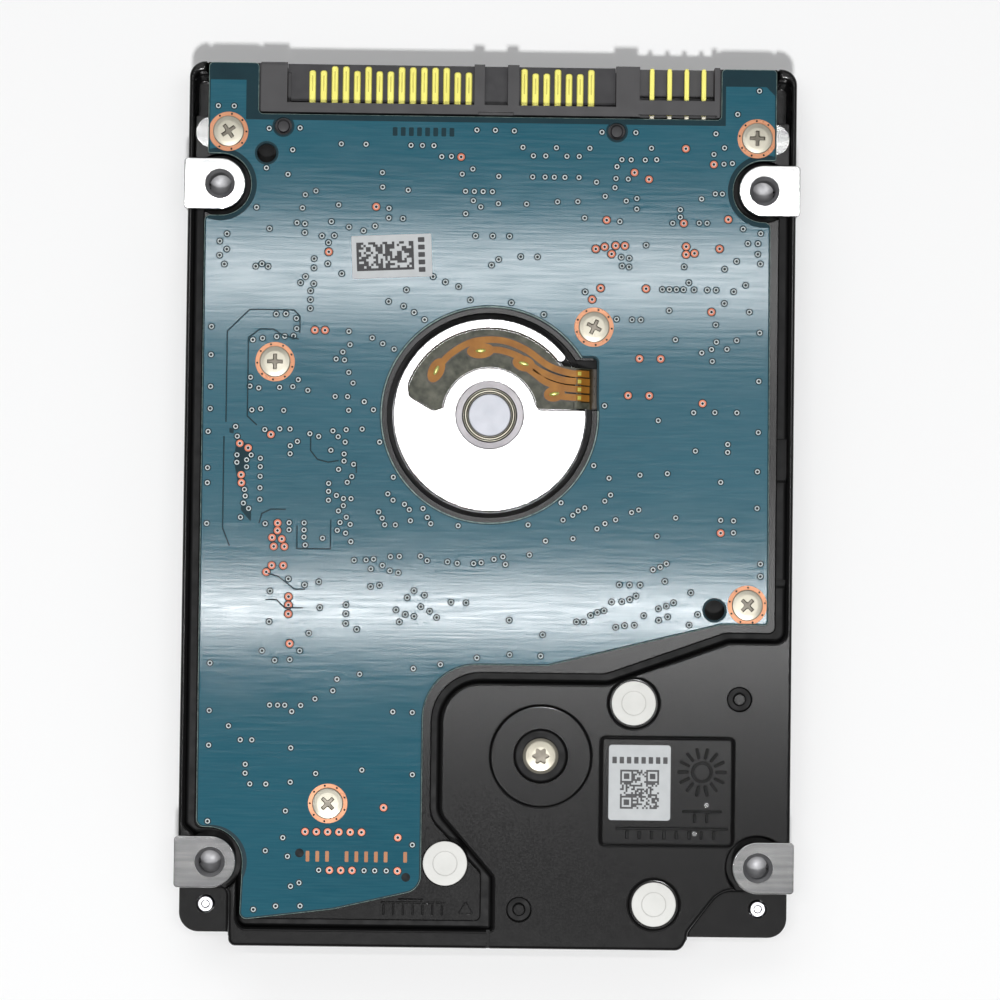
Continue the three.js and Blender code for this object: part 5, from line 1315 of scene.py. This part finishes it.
def pivot_screw():
    screw = turned("star_screw", [
        (0, 5.2, 0), (1.1, 5.2, 0.1), (1.1, 8, 0), (2.02, 8, 0.05), (2.02, 8.4, 0.12), (1.7, 8.66, 0.25),
        (1, 8.74, 0.5), (0, 8.75, 0),
    ], steps=80)
    cut(screw, star_cutter(0.82, 0.16, 8.2, 9))
    # Painted shade in the star recess.
    two_tone(screw, NICKEL, RECESS_PAINTED_SHADE, in_recess(8.66))
    shown(placed(screw, PIVOT), NICKEL, ["pivot_screw"])


def around(radius, start, end, step=5):
    """Corners along an arc about the spindle, from one direction to another in degrees."""
    count = max(2, round(abs(end - start) / step))
    x, y = SPINDLE
    corners = []
    for k in range(count + 1):
        angle = math.radians(start + (end - start) * k / count)
        corners.append((x + radius * math.cos(angle), y + radius * math.sin(angle), 0))
    return corners


def crescent(inset=0.0):
    """Outline of the recess in the bracket's face and of its outlet at the rim."""
    outer, inner = 9.9 - inset, 5.3 + inset
    rim = 9.6 if inset else 12
    corners = [(rim, 10.8 + inset, 0), (rim, 15.9 - inset, 0)]
    corners += around(outer, 36, 160 - 3 * inset)
    corners += [(-9.15, 12.15 + inset, 0.7), (-6.4, 10.55 + inset, 0.8)]
    corners += around(inner, 172, 14)
    corners.append((5.55, 10.8 + inset, 0.5))
    return corners


def motor_bracket():
    body = turned("motor_disc", [
        (3.1, 5.2, 0), (4.2, 5.2, 0), (4.2, 8, 0), (10.25, 8, 0), (10.25, FLOOR, 0), (10.9, FLOOR, 0),
        (10.9, 8.9, 0.12), (3.85, 8.9, 0.08), (3.85, 8.6, 0.08), (3.1, 8.6, 0.05),
    ], SPINDLE, 180)
    x, y = SPINDLE
    c, s = math.cos(math.radians(40)), math.sin(math.radians(40))
    bends = [math.pi * k / 8 for k in range(9)]
    tip = [(11.6, 0), *[(10.4 + 0.5 * math.cos(t), 0.5 * math.sin(t)) for t in bends], (9.3, 0)]
    outlet = [(9.2, 10.85, 0), (12.5, 10.85, 0), (12.5, 18.5, 0),
              *[(x + out * c + on * s, y + out * s - on * c, 0) for out, on in tip]]
    cut(body, loft("cutter", crescent(), [(-0.12, 8.4), (-0.04, 8.5), (0.02, 8.86), (0.05, 8.9), (0.05, 10)]),
        loft("cutter", outlet, [(0, 7), (0, 10)]))
    # Painted shade: the wall of the crescent recess takes the flex shade colour, and the floor of the outlet
    # under the board takes the near-black shade coat.
    for finish in (BRACKET, BEARING, FLEX_SHADE, PAINTED_SHADE_COAT):
        body.data.materials.append(finish)
    for face in body.data.polygons:
        away = (face.center.xy / MM - Vector(SPINDLE)).length
        across, along, height = (value / MM for value in face.center)
        on_wall = 4.5 < away < 10.5 and 8.42 < height < 8.895 and face.normal.z < 0.95
        in_outlet = away > 9.2 and across > 6.5 and along > 10.8 and height < 8.4
        face.material_index = 1 if away < 3.8 else 3 if in_outlet else 2 * int(on_wall)
    shown(body, BRACKET, ["motor_bracket"])
    grooved = [(1.65, 5, 0), (3.02, 5, 0), (3.02, 8.66, 0.05)]
    for radius in (2.9, 2.64):
        grooved += [(radius, 8.7, 0.03), (radius - 0.01, 8, 0)]
        grooved += [(radius - 0.1, 8, 0), (radius - 0.11, 8.7, 0.03)]
    grooved += [(2.46, 8.66, 0.03), (2.45, 8, 0), (1.65, 8, 0)]
    sleeve = turned("sleeve_ring", grooved, SPINDLE, 96)
    # Painted shade: the floors of the sleeve's grooves, below 8.45 mm, take the near-black shade coat.
    two_tone(sleeve, NICKEL, PAINTED_SHADE_COAT, lambda face: face.center.z / MM < 8.45)
    shown(sleeve, NICKEL, ["bearing_sleeve"])
    cap = turned("sleeve_cap", [
        (0, 8.5, 0), (1.65, 8.5, 0), (1.65, 8.01, 0), (2.38, 8.01, 0), (2.38, 8.62, 0.08), (2.28, 8.7, 0.05),
        (0, 8.72, 0),
    ], SPINDLE, 96)
    shown(cap, CAP, ["bearing_cap"])


def flex_drop(x):
    """How far the flexible circuit has dived below the bracket's face at x, on its way under the board."""
    t = max(0.0, min(1.0, (x - 9.8) / 1.9))
    return 1.3 * t * t * (3 - 2 * t)


def eased(p, q, r, s, t):
    """The value a share t of the way from q to r on a Catmull-Rom curve with neighbours p and s."""
    square = (2 * p - 5 * q + 4 * r - s) * t * t
    cube = (3 * q - p - 3 * r + s) * t ** 3
    return 0.5 * (2 * q + (r - p) * t + square + cube)


def spline(path, steps=6):
    """Points of a smooth line through a path."""
    points = []
    ends = [path[0], *path, path[-1]]
    for i in range(1, len(ends) - 2):
        a, b, c, d = ends[i - 1: i + 3]
        for k in range(steps):
            t = k / steps
            points.append(tuple(eased(*values, t) for values in zip(a, b, c, d)))
    return [*points, path[-1]]


def flex_strip(name, path, width, low, high):
    """A thin strip along a path, which dives with the flexible circuit where it leaves the bracket."""
    points = spline(path)
    vertices, faces = [], []
    for i, (x, y) in enumerate(points):
        before, after = points[max(i - 1, 0)], points[min(i + 1, len(points) - 1)]
        nx, ny = unit(before[1] - after[1], after[0] - before[0])
        for side, height in ((-1, low), (1, low), (1, high), (-1, high)):
            px, py = x + nx * side * width / 2, y + ny * side * width / 2
            vertices.append((px, py, height - flex_drop(px)))
    for i in range(len(points) - 1):
        a, b = 4 * i, 4 * i + 4
        faces += [(a + k, a + (k + 1) % 4, b + (k + 1) % 4, b + k) for k in range(4)]
    last = 4 * (len(points) - 1)
    faces += [(3, 2, 1, 0), (last, last + 1, last + 2, last + 3)]
    return outward(mesh_object(name, vertices, faces))


FLEX_TRACES = (
    (
        (-6.1, 15.2), (-4.6, 17), (-2, 18.5), (1.2, 18.7), (4, 17.7), (6.6, 15.9), (9, 15.1), (10.4, 15.05),
        (12, 15.05),
    ),
    ((-1.2, 17.5), (1, 17.6), (3.4, 16.8), (5.6, 15.3), (8, 14.35), (10.4, 14.15), (12, 14.15)),
    ((3.6, 16), (5, 15), (6.4, 14), (8.4, 13.4), (10.4, 13.25), (12, 13.25)),
    ((7, 12.7), (8.4, 12.4), (10.4, 12.3), (12, 12.3)),
)
FLEX_PADS = ((-6.1, 15.2, 65, 1.35), (-1.1, 17.5, 5, 1.45), (3.8, 16.1, -15, 1.2), (7.3, 12.7, 10, 1.1))


def motor_flex():
    sheet = plate("flex_sheet", crescent(0.15), FLEX_LOW, FLEX_HIGH, 0.03)
    outlet = flex_strip("flex_outlet", [(9.5 + 0.8 * k, 13.35) for k in range(6)], 4.6, FLEX_LOW, FLEX_HIGH)

    # Painted shade: the flex and its traces turn dark where they dive under the board.
    def in_board_shade(face):
        return face.center.x / MM > 11.4

    flex = two_tone(merged("flex_circuit", [sheet, outlet]), FLEX, FLEX_SHADE, in_board_shade)
    shown(flex, FLEX, ["motor_flex"])
    top = FLEX_HIGH + 0.02
    traces = [flex_strip("trace", path, 0.74, FLEX_HIGH - 0.01, top) for path in FLEX_TRACES]
    # Painted shade: a wider dark strip under each trace and land draws a shaded outline round it.
    trace_shades = [flex_strip("gap", path, 1.06, FLEX_HIGH - 0.01, FLEX_HIGH + 0.008) for path in FLEX_TRACES]
    blobs = []
    for x, y, turn, length in FLEX_PADS:
        for made, radius, high in ((traces, 1.08, top + 0.004), (trace_shades, 1.24, FLEX_HIGH + 0.01)):
            land = turned("land", [(0, 8.5, 0), (radius, 8.5, 0), (radius, high, 0), (0, high, 0)], steps=48)
            land.data.transform(Matrix.Diagonal((length, 0.8, 1, 1)))
            made.append(placed(land, (x, y), turn))
        dome = [(0, 8.5, 0), (0.62, 8.5, 0), (0.6, 8.62, 0.05), (0.35, 8.75, 0.2), (0, 8.79, 0)]
        blob = turned("blob", dome, steps=40)
        blob.data.transform(Matrix.Diagonal((0.95, 0.38, 1, 1)))
        blobs.append(placed(blob, (x, y), turn))
    lines = two_tone(merged("flex_circuit_traces", traces), FLEX_TRACE, FLEX_SHADE, in_board_shade)
    shown(lines, FLEX_TRACE)
    shown(merged("flex_circuit_trace_shade", trace_shades), FLEX_SHADE)
    # Painted highlights: small gold plates on the traces where the flex bends down stand in for glints of
    # light.
    ends = [flex_strip("end", ((9.95, y), (10.15, y), (10.35, y)), 0.42, top - 0.01, top + 0.012)
            for y in (15.05, 14.15, 13.25, 12.3)]
    shown(merged("flex_circuit_painted_glints", ends), GOLD)
    shown(merged("flex_circuit_solder", blobs), SOLDER)


# ---- Cover side ----
def top_cover():
    sheet = plate("cover_sheet", grown(BODY_OUTLINE, -0.1), 0, COVER_TOP, 0.06, 0.18)
    sites = [middle(node) for node in COVER_SCREWS]
    cups = [cylinder(x, y, 2.9, 0.3, GASKET_TOP) for x, y in sites]
    dimples = [cylinder(x, y, 2.5, -1, COVER_TOP) for x, y in sites]
    holes = [cylinder(x, y, 1.15, -1, 2, 32) for x, y in (*sites, PIVOT)]
    joined(sheet, *cups, cylinder(*PIVOT, 3.4, 0.3, GASKET_TOP))
    cut(sheet, *dimples, *holes, cylinder(*PIVOT, 3, -1, COVER_TOP),
        loft("cutter", rectangle(-27, -38, 27, 38, 2), [(0, -1), (0, 0.15)]))
    shown(sheet, COVER, ["top_cover"])


def cover_screws():
    """The six cover screws and the one into the pivot; two of them end in the open at the far corners."""
    for node in [*COVER_SCREWS, "pivot_cover_screw"]:
        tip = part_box(node)[1].z / MM
        screw = turned(f"star_{node}", [
            (0, 0.15, 0), (1.95, 0.15, 0.15), (2.1, 0.35, 0.1), (2.1, COVER_TOP, 0.05), (0.9, COVER_TOP, 0),
            (0.9, tip, 0.15), (0.5, tip, 0.03), (0.35, tip - 0.25, 0), (0, tip - 0.25, 0),
        ], steps=48)
        cut(screw, star_cutter(0.7, 0.13, -0.5, 0.42))
        shown(placed(screw, middle(node)), STEEL, [node])


# ---- Everything that stays as CAD made it ----
def inner_pieces():
    """Gives the CAD nodes that still show their finish, from the material slots of the record."""
    finishes = {
        "coated": COATED, "bare": BRACKET, "steel": STEEL, "cover": COVER, "board": BOARD,
        "black_plastic": HOUSING, "gold": GOLD, "nickel": NICKEL, "paper": PAPER, "foam": FOAM,
        "chip": CHIP, "polyimide": FLEX_TRACE,
        "copper": COPPER, "mirror": MIRROR, "magnet": MAGNET, "resin": RESIN, "felt": FELT, "rubber": RUBBER,
    }
    for entry in frame["record"]["subparts"]:
        node = frame["nodes"][entry["node"]]
        node.data.materials.clear()
        node.data.materials.append(finishes[entry["material_slot"]])


inner_pieces()
base_casting()
casting_marks()
circuit_board()
board_points()
board_bars()
board_screws()
connector()
contact_row("power_blades", "power_contacts", 15, (2, 3, 5, 8, 9, 10, 11, 12))
contact_row("signal_blades", "signal_contacts", 7, (0, 3, 6))
jumper_pins()
board_label()
base_label()
seals()
pivot_screw()
motor_bracket()
motor_flex()
top_cover()
cover_screws()


# ---- Floor, light and camera ----
def floor():
    bpy.ops.mesh.primitive_plane_add(size=6)
    sheet = bpy.context.object
    sheet.name = "floor"
    sheet.data.materials.append(plain_finish("floor", (0.93, 0.93, 0.93), (0.95, 0.95, 0.95), (0.8, 0.9), 3))


def area_light(name, place, target, size, radiance):
    """A rectangular light aimed at a point, with its radiance in the render's units."""
    light = bpy.data.lights.new(name, "AREA")
    light.shape = "RECTANGLE"
    light.size, light.size_y = size
    light.energy = radiance * math.pi * size[0] * size[1]
    obj = bpy.data.objects.new(name, light)
    obj.location = place
    obj.rotation_euler = (Vector(target) - Vector(place)).to_track_quat("-Z", "Y").to_euler()
    bpy.context.scene.collection.objects.link(obj)


def world():
    made = bpy.data.worlds.new("studio")
    bpy.context.scene.world = made
    made.use_nodes = True
    nodes, links = made.node_tree.nodes, made.node_tree.links
    place = nodes.new("ShaderNodeTexCoord")
    split = nodes.new("ShaderNodeSeparateXYZ")
    product = nodes.new("ShaderNodeMath")
    product.operation = "MULTIPLY"
    links.new(place.outputs["Generated"], split.inputs[0])
    for axis, low, high in ((2, 0.13, 0.2), (1, 0.3, 1.7)):
        ramp = nodes.new("ShaderNodeMapRange")
        links.new(split.outputs[axis], ramp.inputs[0])
        for index, value in ((1, axis - 2.0), (2, 1.0), (3, low), (4, high)):
            ramp.inputs[index].default_value = value
        links.new(ramp.outputs[0], product.inputs[2 - axis])
    links.new(product.outputs[0], nodes["Background"].inputs["Strength"])
    nodes["Background"].inputs["Color"].default_value = (0.98, 0.99, 1.0, 1)


CAMERA_PLACE = (-0.0048, -0.0164, 0.4593)
CAMERA_TURN = (0.0375, -0.014, 0.0125)
CAMERA_LENS = 143.46


def camera():
    data = bpy.data.cameras.new("camera")
    data.lens = CAMERA_LENS
    data.sensor_width = 36
    data.clip_start = 0.01
    data.clip_end = 20
    obj = bpy.data.objects.new("camera", data)
    obj.location = CAMERA_PLACE
    obj.rotation_euler = CAMERA_TURN
    bpy.context.scene.collection.objects.link(obj)
    bpy.context.scene.camera = obj


def reflected_strip(name, board_y, width, radiance):
    """A long strip light overhead, placed so that the camera sees its reflection in the board at board_y."""
    strip_height, eye_y, eye_height = 1.0, CAMERA_PLACE[1], CAMERA_PLACE[2]
    share = strip_height / eye_height
    y = board_y * MM * (1 + share) - eye_y * share
    area_light(name, (0, y, strip_height), (0, y, 0), (0.7, width * MM * (1 + share)), radiance)


floor()
world()
camera()
reflected_strip("strip_middle", -11.9, 3.4, 46)
reflected_strip("ceiling_glow", 6.0, 24.0, 0.6)
reflected_strip("strip_connector_end", 26.3, 8.5, 16)
area_light("key", (-0.2, 0.8, 0.8), (0, 0, 0), (0.8, 0.5), 1.0)
area_light("flash", (0, -0.34, 1.0), (0, 0, 0), (0.06, 0.06), 620)
bpy.context.scene.view_settings.view_transform = "Standard"
